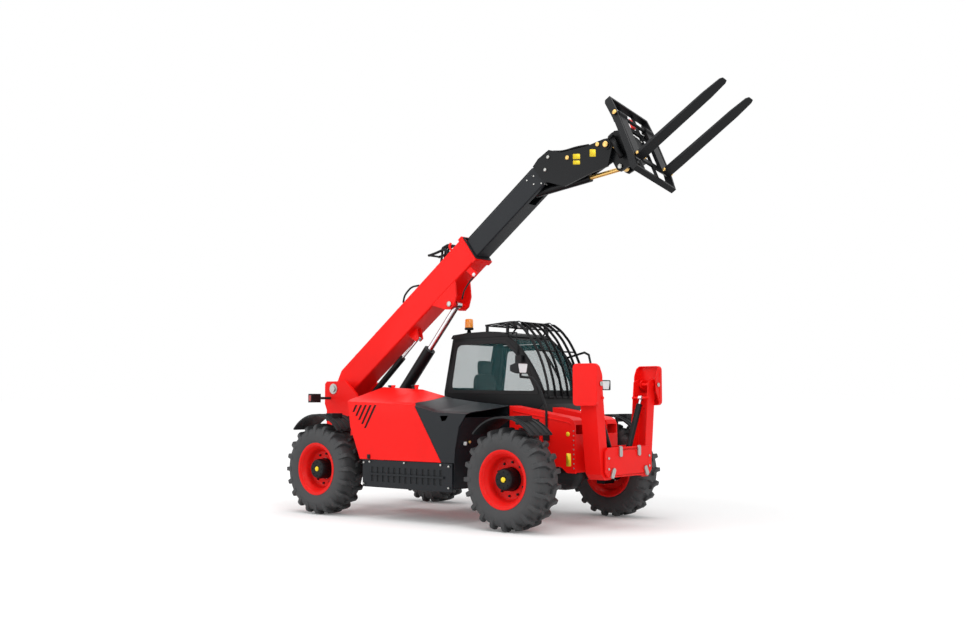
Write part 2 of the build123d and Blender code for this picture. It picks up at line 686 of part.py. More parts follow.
# boxes each side of the boom's front, from (x, top z) at their rear end
nose_rear = {-1: (1024, 1408), 1: (1175, 1384)}
with BuildPart() as nose:
    block((front_end_x - 25, front_end_x), (-nose_half, nose_half), (640, 1080))
    for side in (-1, 1):
        x0, z0 = nose_rear[side]
        crest = [(x0, z0), (1900, 1270), (1957, 1240), (1980, 1190)]
        foot = [(1865, 635), (1780, 700)] + ([(x0 + 56, 700), (x0, 760)] if side < 0 else [(x0, 700)])
        outer, shelf, wall = side * nose_half, side * (nose_half - 20), side * 235
        slab(side_plane(max(outer, shelf)), ahead(crest + [(1984, 631)] + foot), 20)
        slab(side_plane(max(shelf, wall)),
             ahead(crest + [(1968, 1185), (1948, 1228), (1896, 1258), (x0, z0 - 12)]), abs(shelf - wall))
        slab(side_plane(max(wall, wall + side * 12)),
             ahead([(x0, frame_high - 5), (1970, frame_high - 5), (1970, 1185), (1896, 1258), (x0, z0 - 12)]), 12)
        for z in (axle_seat_z + 40, frame_high - 30):
            low_high = sorted((plate_outer[side] if abs(plate_outer[side]) > 240 else side * 240, outer))
            block((wheelbase_mid_x + 1175, front_end_x), low_high, (z, z + 15))
    # box that carries the stabilisers' beam
    for z in (640, 885):
        block((front_end_x, beam_rear), (-250, 250), (z, z + 15))
    for y in (-250, 235):
        block((front_end_x, beam_rear), (y, y + 15), (640, 900))
    block((beam_rear + beam_plate, beam_front - beam_plate), (-130, 130), (620, 660))
    for carrier in (chassis, pins):
        add(carrier.part, mode=Mode.SUBTRACT)
save(nose, "nose")

# ---------------------------------------------------------------- engine side
bonnet_wall = 6
bonnet_low_z = 740
side_panel_x = (wheelbase_mid_x - 730, wheelbase_mid_x + 755)
tray_z = 400
# stations along the bonnet: (x, outer edge z, shoulder z, inner edge z)
bonnet_stations = [
    (-1200, 1464, 1492, 1652), (-431, 1440, 1466, 1612), (90, 1418, 1444, 1496),
    (480, 1330, 1352, 1452), (1010, 1312, 1334, 1408),
]
shoulder_y = bonnet_side_y + 70
seam = [(592, 700), (578, 744), (142, 1411), (-40, 1520), (-267, 1660)]       # rear face of the front moulding


def bonnet_solid(inset):
    """The bonnet's whole outer form, drawn in by an inset on its top and sides."""
    with BuildPart() as form:
        for x, outer_z, shoulder_z, inner_z in bonnet_stations:
            with BuildSketch(cross_plane(wheelbase_mid_x + x)):
                Polygon(
                    (bonnet_side_y + inset, bonnet_low_z - 30), (bonnet_side_y + inset, outer_z - inset),
                    (shoulder_y + inset * 0.7, shoulder_z - inset), (bay_inner_y - inset, inner_z - inset),
                    (bay_inner_y - inset, bonnet_low_z - 30),
                )
        loft(ruled=True)
    return form.part


def bonnet_inner_z(x):
    """Height of the bonnet's inner edge at x from the wheelbase middle."""
    for (x0, _, _, z0), (x1, _, _, z1) in zip(bonnet_stations, bonnet_stations[1:]):
        if x <= x1:
            return z0 + (z1 - z0) * (x - x0) / (x1 - x0)
    return bonnet_stations[-1][3]


bonnet_outer, bonnet_inner = bonnet_solid(0), bonnet_solid(bonnet_wall)
rear_edge = [(-780, bonnet_low_z), (-957, 1135), (-1010, 1470), (-1144, 1660)]
front_edge = [(985, 1345), (985, 1332), (857, 1164), (800, 900), (786, bonnet_low_z)]


hinge_y, hinge_z, hinge_radius = bay_inner_y - bonnet_wall, 1660, 12
bonnet_hinges = (-980, -560)


def side_cut(outline, high=0, low=-1300):
    """A prism of an (x, z) outline across the whole engine side."""
    with BuildPart() as prism:
        slab(side_plane(high), ahead(outline), high - low)
    return prism.part


rear_profile = [*rear_edge, (-267, 1660), (-40, 1520), (142, 1411), (578, 744), (581, bonnet_low_z)]
# hollow behind a rear wall that follows the rear edge
with BuildPart() as bonnet_hollow:
    add(bonnet_inner)
    add(side_cut([(-780 + 8, bonnet_low_z - 40), (-957 + 8, 1135), (-1010 + 8, 1470), (-1140, 1700),
                  (700, 1700), (700, bonnet_low_z - 40)]), mode=Mode.INTERSECT)
with BuildPart() as bonnet_rear:
    add(bonnet_outer)
    add(side_cut(rear_profile), mode=Mode.INTERSECT)
    add(bonnet_hollow.part, mode=Mode.SUBTRACT)
    block((-3000, 1000), (bay_inner_y - bonnet_wall - 1, bay_inner_y + 1), (0, 1300), Mode.SUBTRACT)
    # five slanted air slots
    for i in range(5):
        x, drop = -868 + 84 * i, 90 + 50 * i
        slab(
            side_plane(bonnet_side_y + 20),
            ahead([(x, 1415), (x + 38, 1415 - 4), (x + 38 - drop * 0.62, 1415 - drop), (x - drop * 0.62, 1415 - drop)]),
            40, Mode.SUBTRACT,
        )
    # hinge knuckles with their pins, and a strap behind the seam
    for x in bonnet_hinges:
        x0, top = wheelbase_mid_x + x, bonnet_inner_z(x + 60)
        bar((x0 + seat_gap, hinge_y, hinge_z), (x0 + 60, hinge_y, hinge_z), hinge_radius)
        bar((x0 - 60, hinge_y, hinge_z), (x0 + 30, hinge_y, hinge_z), hinge_radius / 2)
        block((x0 + 5, x0 + 55), (hinge_y - 10, hinge_y + 4), (top - 8, hinge_z))
    block((wheelbase_mid_x + 370, wheelbase_mid_x + 450),
          (bonnet_side_y + bonnet_wall, bonnet_side_y + bonnet_wall + 20), (985, 1015))
save(bonnet_rear, "bonnet_rear")

front_profile = [(-267 + panel_gap, 1662), (-40 + panel_gap, 1522), (142 + panel_gap, 1413),
                 (578 + panel_gap, 744), (581 + panel_gap, bonnet_low_z), *reversed(front_edge), (1005, 1345),
                 (1005, 1662)]
with BuildPart() as bonnet_front:
    add(bonnet_outer)
    add(side_cut(front_profile), mode=Mode.INTERSECT)
    add(bonnet_inner, mode=Mode.SUBTRACT)
    block((-3000, 1000), (bay_inner_y - bonnet_wall - 1, bay_inner_y + 1), (0, 1300), Mode.SUBTRACT)
    # intake notch below the shoulder
    slab(
        side_plane(bonnet_side_y + 60),
        ahead([(560, 1290), (690, 1292), (650, 1235), (590, 1225)]),
        80, Mode.SUBTRACT,
    )
save(bonnet_front, "bonnet_front")

with BuildPart() as side_panel:
    slab(side_plane(bonnet_side_y + 16), [(side_panel_x[0], tray_z), (side_panel_x[1], tray_z),
                                          (side_panel_x[1], bonnet_low_z - panel_gap),
                                          (side_panel_x[0], bonnet_low_z - panel_gap)], 16)
    slots, slot_span = 13, side_panel_x[1] - side_panel_x[0] - 260
    for i in range(slots):
        x = side_panel_x[0] + 130 + slot_span * (i + 0.5) / slots
        slab(side_plane(bonnet_side_y + 20), [(x - 18, 470), (x + 18, 470), (x + 18, 650), (x - 18, 650)], 24,
             Mode.SUBTRACT)
    block(side_panel_x, (bonnet_side_y + 10, plate_outer[-1]), (frame_low, frame_low + 10))
save(side_panel, "side_panel")

# bulkhead beside the boom, wheel-arch liner ahead of the engine
with BuildPart() as engine_bay:
    top = [(x, bonnet_inner_z(x) - bonnet_wall - panel_gap) for x in (-1080, -431, 90, 480, 985)]
    bulkhead_y = plate_outer[-1] - 50
    slab(side_plane(bulkhead_y), ahead([(-1080, frame_low + 10), *top, (985, frame_high), (1100, frame_low + 10)]),
         12)
    for x in (-1000, 0, 900):
        block((wheelbase_mid_x + x - 30, wheelbase_mid_x + x + 30), (bulkhead_y, plate_outer[-1]),
              (frame_high - 120, frame_high - 105))
    for x in bonnet_hinges:
        x0 = wheelbase_mid_x + x
        bar((x0 - 60, hinge_y, hinge_z), (x0 - seat_gap, hinge_y, hinge_z), hinge_radius)
        bar((x0 - 61, hinge_y, hinge_z), (x0 + 1, hinge_y, hinge_z), hinge_radius / 2 + pin_clearance, Mode.SUBTRACT)
        block((x0 - 55, x0 - 5), (hinge_y + 8, bulkhead_y), (bonnet_inner_z(x) - 60, hinge_z))
    arch = [(760, frame_low + 10), (775, bonnet_low_z), (790, 900), (845, 1150), (945, 1270), (936, 1276),
            (833, 1156), (778, 904), (763, bonnet_low_z), (748, frame_low + 10)]
    slab(side_plane(bulkhead_y), ahead(arch), abs(bonnet_side_y + 22 - bulkhead_y))
save(engine_bay, "engine_bay")

engine_size = (820, 560, 760)
with BuildPart() as engine:
    x0, y0 = wheelbase_mid_x - 480, -1080
    block((x0, x0 + engine_size[0]), (y0, y0 + engine_size[1]), (frame_low + 10, frame_low + 10 + engine_size[2]))
save(engine, "engine")

# ---------------------------------------------------------------- tank and steps under the cab
with BuildPart() as tank:
    x0, x1 = wheelbase_mid_x - 640, wheelbase_mid_x + 740
    block((x0, x1), (plate_outer[1], 1120), (frame_low, cab_floor_z))
    fillet(tank.edges().filter_by(Axis.X).sort_by(Axis.Y)[-2:], 40)
    for z in (470, 640):
        block((wheelbase_mid_x - 120, wheelbase_mid_x + 420), (900, 1230), (z, z + 20))
    for x in (-120, 410):
        block((wheelbase_mid_x + x, wheelbase_mid_x + x + 10), (900, 1230), (440, 660))
    block((wheelbase_mid_x - 110, wheelbase_mid_x + 410), (960, 1300), (490, 640), Mode.SUBTRACT)
    block((wheelbase_mid_x - 110, wheelbase_mid_x + 410), (960, 1300), (660, cab_floor_z + 1), Mode.SUBTRACT)
save(tank, "fuel_tank")

# ---------------------------------------------------------------- cab
cab_step_y, cab_step_z = 280, 1020       # the tub stands clear of the chassis below this height
cab_mid_y = (cab_right + cab_left) / 2
sill = 60                                # pillars and rails round the windows
screen_top, screen_mid, screen_low = (480, 2300), (812, 1980), (1050, 1555)


def cab_side(inset=0.0):
    """The cab's side outline, drawn in by an inset, as an (x, z) face on the XZ plane."""
    with BuildSketch(Plane(origin=(wheelbase_mid_x, 0, 0), x_dir=(1, 0, 0), z_dir=(0, -1, 0)),
                     mode=Mode.PRIVATE) as face:
        with BuildLine():
            Polyline(screen_low, (1062, 1520), (1062, 1430), (985, 1365), (857, 1190), (796, 920),
                     (786, cab_floor_z), (-560, cab_floor_z), (-600, 1100), (-600, 1586), (-450, 2290),
                     screen_top)
            ThreePointArc(screen_top, screen_mid, screen_low)
        make_face()
        if inset:
            offset(amount=-inset, mode=Mode.REPLACE)
    return face.sketch


def cab_prism(face, y0, y1):
    """A face on the XZ plane carried between two y values."""
    return extrude(face.moved(Location((0, max(y0, y1), 0))), amount=abs(y1 - y0), dir=(0, -1, 0),
                   mode=Mode.PRIVATE)


def window(points, y0, y1, start=wheelbase_mid_x):
    """A window's prism between two y values."""
    with BuildPart() as pane:
        slab(side_plane(max(y0, y1)), ahead(points, start), abs(y1 - y0))
    return pane.part


right_window = [(-515, 1585), (-395, 2235), (455, 2240), (640, 2085), (790, 1900), (925, 1660), (965, 1560)]
door_outline = [(-430, cab_floor_z + 45), (-440, 1500), (-330, 2235), (455, 2240), (640, 2085), (790, 1900),
                (900, 1700), (900, 1330), (800, 1180), (735, 960), (730, cab_floor_z + 45)]
door_window = [(-375, 1480), (-285, 2180), (430, 2185), (600, 2045), (740, 1870), (835, 1690), (835, 1560),
               (700, 1480)]
left_low_window = [(-300, 1000), (-330, 1390), (600, 1390), (600, 1000)]
screen_y = (cab_right + 55, cab_left - 55)
rear_window_z = (1640, 2225)

outer_side, inner_side = cab_side(), cab_side(cab_wall)
with BuildPart() as cab_inside:
    add(cab_prism(inner_side, cab_right + cab_wall, cab_left - cab_wall))
    block((-3000, 2000), (cab_right, cab_step_y + cab_wall), (0, cab_step_z + cab_wall), Mode.SUBTRACT)
screen_cut = window([(520, 2235), (560, 2330), (900, 2330), (1200, 1900), (1200, 1600), (960, 1600), (640, 2000)],
                    *screen_y)
with BuildPart() as cab_shell:
    add(cab_prism(outer_side, cab_right, cab_left))
    block((-3000, 2000), (cab_right - 1, cab_step_y), (0, cab_step_z), Mode.SUBTRACT)
    add(cab_inside.part, mode=Mode.SUBTRACT)
    add(window(right_window, cab_right - 5, cab_right + cab_wall + 5), mode=Mode.SUBTRACT)
    add(window(door_outline, cab_left - cab_wall - 5, cab_left + 5), mode=Mode.SUBTRACT)
    add(screen_cut, mode=Mode.SUBTRACT)
    block((wheelbase_mid_x - 640, wheelbase_mid_x - 400), (cab_right + 70, cab_left - 70), rear_window_z,
          Mode.SUBTRACT)
    # feet down to the chassis plate and the axle side
    for x in (-480, 600):
        block((wheelbase_mid_x + x, wheelbase_mid_x + x + 90), (plate_outer[1], cab_step_y + 60),
              (frame_high - 60, frame_high - 20))
save(cab_shell, "cab_shell")

with BuildPart() as cab_roof:
    slab(side_plane(cab_left + 10),
         ahead([(-475, 2292), (-440, 2345), (-200, 2366), (150, 2374), (330, 2362), (470, 2328), (500, 2300),
                (480, 2300), (-450, 2290)]),
         cab_left - cab_right + 20)
    fillet(cab_roof.edges().filter_by(Axis.X, tolerance=15).sort_by(Axis.Z)[-6:], 12)
    for x in (100, 440):
        for y in (cab_right + 40, cab_left - 40):
            block((wheelbase_mid_x + x, wheelbase_mid_x + x + 30), (y - 15, y + 15), (2325, 2462))
save(cab_roof, "cab_roof")

glass_side = cab_side(8)
with BuildPart() as windscreen:
    add(cab_prism(outer_side, *screen_y))
    add(cab_prism(glass_side, *screen_y), mode=Mode.SUBTRACT)
    add(screen_cut, mode=Mode.INTERSECT)
with BuildPart() as rear_pane:
    add(cab_prism(outer_side, cab_right + 70, cab_left - 70))
    add(cab_prism(glass_side, cab_right + 70, cab_left - 70), mode=Mode.SUBTRACT)
    block((wheelbase_mid_x - 640, wheelbase_mid_x - 400), (cab_right + 70, cab_left - 70), rear_window_z,
          Mode.INTERSECT)
with BuildPart() as cab_glass:
    add(window(right_window, cab_right + 12, cab_right + 18))
    add(windscreen.part)
    add(rear_pane.part)
save(cab_glass, "cab_glass")

door_gap_outline = [(-424, cab_floor_z + 51), (-434, 1500), (-325, 2229), (452, 2234), (635, 2080), (784, 1896),
                    (894, 1698), (894, 1333), (795, 1184), (729, 962), (724, cab_floor_z + 51)]
door_hinge_x, door_hinge_y = wheelbase_mid_x - 462, cab_left + 22
with BuildPart() as cab_door:
    add(window(door_gap_outline, cab_left - cab_wall, cab_left))
    add(window(door_window, cab_left - cab_wall - 1, cab_left + 1), mode=Mode.SUBTRACT)
    add(window(left_low_window, cab_left - cab_wall - 1, cab_left + 1), mode=Mode.SUBTRACT)
    for z in (900, 1350, 2000):
        block((door_hinge_x, wheelbase_mid_x - 360), (cab_left, cab_left + 10), (z, z + 50))
        bar((door_hinge_x, door_hinge_y, z), (door_hinge_x, door_hinge_y, z + 50), 14)
    # pull handle
    bar((wheelbase_mid_x + 640, cab_left + 30, 1250), (wheelbase_mid_x + 640, cab_left + 30, 1420), 10)
    for z in (1255, 1415):
        bar((wheelbase_mid_x + 640, cab_left - 2, z), (wheelbase_mid_x + 640, cab_left + 30, z), 8)
save(cab_door, "cab_door")

with BuildPart() as door_glass:
    for outline in (door_window, left_low_window):
        add(window(outline, cab_left - 20, cab_left - 14))
save(door_glass, "door_glass")

# ---------------------------------------------------------------- screen guard over roof and windscreen
guard_bars, guard_rod = 6, 14
guard_y = (cab_right + 50, cab_left - 50)
with BuildPart() as screen_guard:
    step = (guard_y[1] - guard_y[0] - guard_rod) / (guard_bars - 1)
    outer_bend = [(68, 2462), (560, 2500), (700, 2405), (825, 2270), (925, 2110), (1010, 1930), (1075, 1720),
                  (1118, 1500)]
    bent = [*outer_bend, *[(x - guard_rod, z - guard_rod * 0.4) for x, z in reversed(outer_bend[1:])],
            (68, 2446)]
    for i in range(guard_bars):
        slab(side_plane(guard_y[1] - step * i), ahead(bent), guard_rod)
    for x, z, half in ((80, 2453, 11), (320, 2471, 11), (548, 2490, 11), (1106, 1512, 11), (692, 2395, 6),
                       (916, 2106, 6), (1040, 1812, 6)):
        block((wheelbase_mid_x + x - half, wheelbase_mid_x + x + half), guard_y, (z - half, z + half))
    for y in (guard_y[0] + 120, guard_y[1] - 120):
        block((wheelbase_mid_x + 1062, wheelbase_mid_x + 1112), (y - 15, y + 15), (1490, 1520))
    for standing in (cab_roof, cab_shell):
        add(standing.part, mode=Mode.SUBTRACT)
save(screen_guard, "screen_guard")

# ---------------------------------------------------------------- inside the cab
seat_x, seat_y = wheelbase_mid_x - 60, cab_mid_y
floor_z = cab_floor_z + cab_wall
cushion_z = 1170
with BuildPart() as seat_cushion:
    block((seat_x - 180, seat_x + 250), (seat_y - 240, seat_y + 240), (cushion_z, cushion_z + 110))
    fillet(seat_cushion.edges().filter_by(Axis.Z), 50)
save(seat_cushion, "seat_cushion")
with BuildPart() as seat_back:
    block((seat_x - 270 + seat_gap, seat_x - 185), (seat_y - 220, seat_y + 220), (cushion_z + 30, 1840))
    fillet(seat_back.edges().filter_by(Axis.X), 60)
    block((seat_x - 262, seat_x - 195), (seat_y - 130, seat_y + 130), (1830, 2010))
save(seat_back, "seat_back")

wheel_centre, steering_radius, steering_tilt = (wheelbase_mid_x + 430, cab_mid_y, 1480), 180, 35
with BuildPart() as controls:
    # seat's plinth, pan and back bracket
    block((seat_x - 170, seat_x + 170), (seat_y - 180, seat_y + 180), (floor_z, floor_z + 230))
    block((seat_x - 220, seat_x + 220), (seat_y - 210, seat_y + 210), (floor_z + 230, cushion_z - seat_gap))
    block((seat_x - 290, seat_x - 270), (seat_y - 150, seat_y + 150), (cushion_z - 60, 1650))
    block((seat_x - 290, seat_x - 200), (seat_y - 150, seat_y + 150), (cushion_z - 60, cushion_z - 20))
    tilt = radians(steering_tilt)
    axis = (-sin(tilt), 0, cos(tilt))
    ring = Plane(origin=wheel_centre, z_dir=axis)
    with BuildSketch(ring.offset(-11), mode=Mode.PRIVATE) as rim_face:
        RegularPolygon(steering_radius, 16)
        RegularPolygon(steering_radius - 26, 16, mode=Mode.SUBTRACT)
    extrude(rim_face.sketch, amount=22)
    bar(tuple(Vector(*wheel_centre) - Vector(*axis) * 60), tuple(Vector(*wheel_centre) + Vector(*axis) * 12), 38)
    for turn in (90, 210, 330):
        rim_at = Vector(*wheel_centre) + ring.x_dir * steering_radius * cos(radians(turn)) \
            + ring.y_dir * steering_radius * sin(radians(turn))
        bar(wheel_centre, tuple(rim_at), 9)
    foot = (wheelbase_mid_x + 610, cab_mid_y, floor_z)
    bar(foot, tuple(Vector(*wheel_centre) - Vector(*axis) * 40), 40)
    # dash across the front and the console at the right hand
    slab(side_plane(cab_left - cab_wall - 140),
         ahead([(640, floor_z), (640, 1180), (600, 1330), (690, 1375), (840, 1350), (780, 1190), (745, 960),
                (740, floor_z)]), cab_left - cab_right - 2 * cab_wall - 220)
    slab(side_plane(cab_step_y + cab_wall + 110),
         ahead([(-300, floor_z), (-300, 1390), (-100, 1420), (330, 1400), (420, 1330), (420, floor_z)]), 110)
    bar((wheelbase_mid_x + 260, cab_step_y + 90, 1390), (wheelbase_mid_x + 240, cab_step_y + 90, 1540), 11)
    bar((wheelbase_mid_x + 240, cab_step_y + 90, 1530), (wheelbase_mid_x + 236, cab_step_y + 90, 1590), 24)
    add(cab_shell.part, mode=Mode.SUBTRACT)
save(controls, "controls")

# ---------------------------------------------------------------- lamps and mirrors
def rod(points, radius, sides=8):
    """A thin bent rod of flat-sided lengths through (x, y, z) points, in the open part."""
    for start, end in zip(points, points[1:]):
        run = Vector(*end) - Vector(*start)
        lap = run.normalized() * radius * 0.4
        with BuildSketch(Plane(origin=Vector(*start) - lap, z_dir=run), mode=Mode.PRIVATE) as face:
            RegularPolygon(radius, sides)
        extrude(face.sketch, amount=run.length + 2 * radius * 0.4)


def ahead3(points, y):
    """(x, z) points from the wheelbase middle, set at one y."""
    return [(wheelbase_mid_x + px, y, pz) for px, pz in points]


near_lamp, far_lamp, far_tube_y = (1210, -460, 1858), (1365, 1120, 1668), 1120
near_tube = [(1583, 1020), (1581, 1378), (1504, 1573), (1429, 1679), (1373, 1741), (1200, 1755)]
far_tube = [(790, 2040), (1056, 2101), (1126, 2069), (1150, 1968), (1235, 1570), (1320, 1560)]
lamp_depth, lamp_width, lamp_height = 90, 210, 130
with BuildPart() as lamps:
    for (x, y, z), points in ((near_lamp, near_tube), (far_lamp, far_tube)):
        slab(side_plane(y + lamp_width / 2),
             ahead([(x - lamp_depth, z - 35), (x - lamp_depth, z + 35), (x, z + lamp_height / 2),
                    (x + 15, z + lamp_height / 2), (x + 15, z - lamp_height / 2), (x, z - lamp_height / 2)]),
             lamp_width)
        rod(ahead3(points, y), 15)
    rod([(wheelbase_mid_x + 1200, -460, 1755), (wheelbase_mid_x + 1200, -460, 1830)], 14)
    rod([(wheelbase_mid_x + 1320, far_tube_y, 1560), (wheelbase_mid_x + 1320, far_tube_y, 1640)], 14)
    rod([(wheelbase_mid_x + 1235, far_tube_y, 1570), (wheelbase_mid_x + 1045, far_tube_y, 1470)], 14)
    # clamp at the foot of the near tube, on the nose plate
    block((wheelbase_mid_x + 1545, wheelbase_mid_x + 1620), (-482, -nose_half - 0.0), (1000, 1085))
    # work lamps on the screen guard, beacon on the roof
    for x, y, z in ((548, 300, 2445), (530, 1000, 2456)):
        bar((wheelbase_mid_x + x - 20, y, z), (wheelbase_mid_x + x + 40, y, z), 52)
        rod([(wheelbase_mid_x + x, y, z - 45), (wheelbase_mid_x + x - 60, y, 2335)], 12)
    beacon_x = wheelbase_mid_x - 249
    bar((beacon_x, 300, 2355), (beacon_x, 300, 2425), 14)
    bar((beacon_x, 300, 2425), (beacon_x, 300, 2549), 52)
    # rear lamps on arms behind the pivot
    for side in (-1, 1):
        rear_x = wheelbase_mid_x - 2250
        rod([(rear_x, plate_outer[side] - side * 2, 1500), (rear_x, side * 600, 1500)], 18)
        block((rear_x - 35, rear_x + 35), (side * 560, side * 730), (1440, 1560))
    for carrier in (chassis, nose, cab_shell, cab_roof, screen_guard):
        add(carrier.part, mode=Mode.SUBTRACT)
save(lamps, "lamps")

with BuildPart() as mirrors:
    rod([(wheelbase_mid_x + 430, 215, 2340), *ahead3([(520, 2345), (651, 2338), (657, 2030)], 180)], 8)
    block((wheelbase_mid_x + 640, wheelbase_mid_x + 740), (158, 186), (1925, 2045))
    x, z = wheelbase_mid_x + 1130, 1810
    block((x - 40, x + 8), (far_tube_y - 20, far_tube_y + 150), (z - 140, z + 140))
    rod([(wheelbase_mid_x + 1178, far_tube_y + 15, 1850), (x, far_tube_y + 60, 1850)], 9)
    for carrier in (cab_shell, cab_roof, screen_guard, lamps):
        add(carrier.part, mode=Mode.SUBTRACT)
save(mirrors, "mirrors")

# ---------------------------------------------------------------- stabilisers
jack_eye_y, jack_eye_z = 500, 1500
pad_pivot_y, pad_pivot_z = 625, 1660
leg_plate = 12

with BuildPart() as stabiliser_beam:
    for x in (beam_rear, beam_front - beam_plate):
        slab(cross_plane(x),
             [(-beam_half, beam_z[1] - 40), (-beam_half, beam_z[0] + 60), (-beam_half + 60, beam_z[0]),
              (beam_half - 60, beam_z[0]), (beam_half, beam_z[0] + 60), (beam_half, beam_z[1] - 40),
              (beam_half - 60, beam_z[1]), (-beam_half + 60, beam_z[1])], beam_plate)
    add(pins.part, mode=Mode.SUBTRACT)
save(stabiliser_beam, "stabiliser_beam")


def build_leg(side):
    """Two shaped plates joined by a web along the outer edge, bored for its pivot."""
    edge = [(285, 660), (300, 600), (345, 575), (470, 575), (530, 640), (560, 800), (650, 1560), (690, 1640),
            (680, 1700), (630, 1725), (575, 1715), (505, 1690), (400, 760), (330, 720)]
    mirrored = [(side * y, z) for y, z in edge]
    web = [(side * y, z) for y, z in ((470, 575), (530, 640), (560, 800), (650, 1560), (638, 1560), (548, 803),
                                      (520, 648), (465, 587))]
    rear, front = stabiliser_x - stabiliser_half, stabiliser_x + stabiliser_half
    with BuildPart() as leg:
        for x in (rear, front - leg_plate):
            slab(cross_plane(x), mirrored, leg_plate)
        slab(cross_plane(rear), web, front - rear)
        bar((rear - 1, side * leg_pivot_y, leg_pivot_z), (front + 1, side * leg_pivot_y, leg_pivot_z),
            30 + pin_clearance, Mode.SUBTRACT)
        for x0, x1 in ((rear - 10, stabiliser_x - 27), (stabiliser_x + 27, front + 10)):
            bar((x0, side * jack_eye_y, jack_eye_z), (x1, side * jack_eye_y, jack_eye_z), 18)
        bar((rear - 10, side * pad_pivot_y, pad_pivot_z), (front + 10, side * pad_pivot_y, pad_pivot_z), 20)
    return leg


def build_pad(side):
    """A folded foot: sole, side flanges and two lugs bored for the leg's pin."""
    rear, front = stabiliser_x - 155, stabiliser_x + 170
    with BuildPart() as pad:
        block((rear, front), (side * 705, side * 720), (1410, 1890))
        for x in (rear, front - leg_plate):
            slab(cross_plane(x), [(side * 720, 1410), (side * 720, 1890), (side * 640, 1890), (side * 570, 1760),
                                  (side * 570, 1600), (side * 690, 1410)], leg_plate)
        block((rear, front), (side * 640, side * 720), (1878, 1890))
        block((rear, front), (side * 680, side * 720), (1410, 1422))
        for x in (stabiliser_x - 72, stabiliser_x + 52):
            slab(cross_plane(x), [(side * 590, 1640), (side * 590, 1690), (side * 640, 1720), (side * 706, 1720),
                                  (side * 706, 1600), (side * 640, 1605)], 20)
            bar((x - 1, side * pad_pivot_y, pad_pivot_z), (x + 21, side * pad_pivot_y, pad_pivot_z),
                20 + pin_clearance, Mode.SUBTRACT)
    return pad


jack_size = dict(barrel=36, wall=7, rod=18, gland=50, eye=32, pin=18, eye_width=44, barrel_length=590,
                 rod_length=620)
for name, side in (("right", -1), ("left", 1)):
    save(build_leg(side), f"stab_leg_{name}")
    save(build_pad(side), f"stab_pad_{name}")
    base, eye = (stabiliser_x, side * jack_base_y, jack_base_z), (stabiliser_x, side * jack_eye_y, jack_eye_z)
    save(cylinder_barrel(base, eye, (1, 0, 0), jack_size), f"stab_barrel_{name}")
    save(cylinder_rod(base, eye, (1, 0, 0), jack_size), f"stab_rod_{name}")
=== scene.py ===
import math

import bmesh
import bpy
import numpy as np
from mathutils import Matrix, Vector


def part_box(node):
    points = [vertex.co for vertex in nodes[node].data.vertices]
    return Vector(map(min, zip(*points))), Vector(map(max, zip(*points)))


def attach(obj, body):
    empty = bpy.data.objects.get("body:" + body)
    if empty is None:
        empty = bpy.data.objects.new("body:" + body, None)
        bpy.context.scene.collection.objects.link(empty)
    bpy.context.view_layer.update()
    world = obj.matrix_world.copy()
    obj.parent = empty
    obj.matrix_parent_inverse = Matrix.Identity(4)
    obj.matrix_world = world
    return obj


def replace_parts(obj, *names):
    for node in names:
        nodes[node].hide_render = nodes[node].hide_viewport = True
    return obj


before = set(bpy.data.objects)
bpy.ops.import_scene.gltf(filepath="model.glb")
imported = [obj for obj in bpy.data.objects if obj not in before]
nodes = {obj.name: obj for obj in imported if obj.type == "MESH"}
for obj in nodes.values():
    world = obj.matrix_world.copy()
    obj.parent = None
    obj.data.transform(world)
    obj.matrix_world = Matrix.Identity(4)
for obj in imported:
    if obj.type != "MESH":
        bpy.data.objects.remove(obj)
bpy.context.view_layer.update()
scene = bpy.context.scene
print("frame loaded,", len(nodes), "nodes")

# camera, world and floor
camera = {"place": (8.510, -11.049, 1.491), "turn": 39.317, "tilt": 4.644, "lens": 41.154}
cameraData = bpy.data.cameras.new("camera")
cameraData.lens = camera["lens"]
cameraData.clip_end = 2000
cameraObject = bpy.data.objects.new("camera", cameraData)
cameraObject.location = camera["place"]
cameraObject.rotation_euler = (math.radians(90 + camera["tilt"]), 0, math.radians(camera["turn"]))
scene.collection.objects.link(cameraObject)
scene.camera = cameraObject
scene.view_settings.view_transform = "Standard"


class Wire:
    # one socket of a node tree, so that shader maths reads as an expression
    def __init__(self, tree, socket):
        self.tree, self.socket = tree, socket

    def calculate(self, operation, *others, flipped=False):
        node = self.tree.nodes.new("ShaderNodeMath")
        node.operation = operation
        values = [*others, self] if flipped else [self, *others]
        for place, value in enumerate(values):
            if isinstance(value, Wire):
                self.tree.links.new(value.socket, node.inputs[place])
            else:
                node.inputs[place].default_value = value
        return Wire(self.tree, node.outputs[0])

    def __add__(self, other):
        return self.calculate("ADD", other)

    def __radd__(self, other):
        return self.calculate("ADD", other, flipped=True)

    def __sub__(self, other):
        return self.calculate("SUBTRACT", other)

    def __rsub__(self, other):
        return self.calculate("SUBTRACT", other, flipped=True)

    def __mul__(self, other):
        return self.calculate("MULTIPLY", other)

    def __rmul__(self, other):
        return self.calculate("MULTIPLY", other, flipped=True)

    def __truediv__(self, other):
        return self.calculate("DIVIDE", other)

    def step(self, low, high):
        # 0 below low, 1 above high, smooth between
        node = self.tree.nodes.new("ShaderNodeMapRange")
        node.interpolation_type = "SMOOTHSTEP"
        self.tree.links.new(self.socket, node.inputs["Value"])
        node.inputs["From Min"].default_value = low
        node.inputs["From Max"].default_value = high
        return Wire(self.tree, node.outputs["Result"])


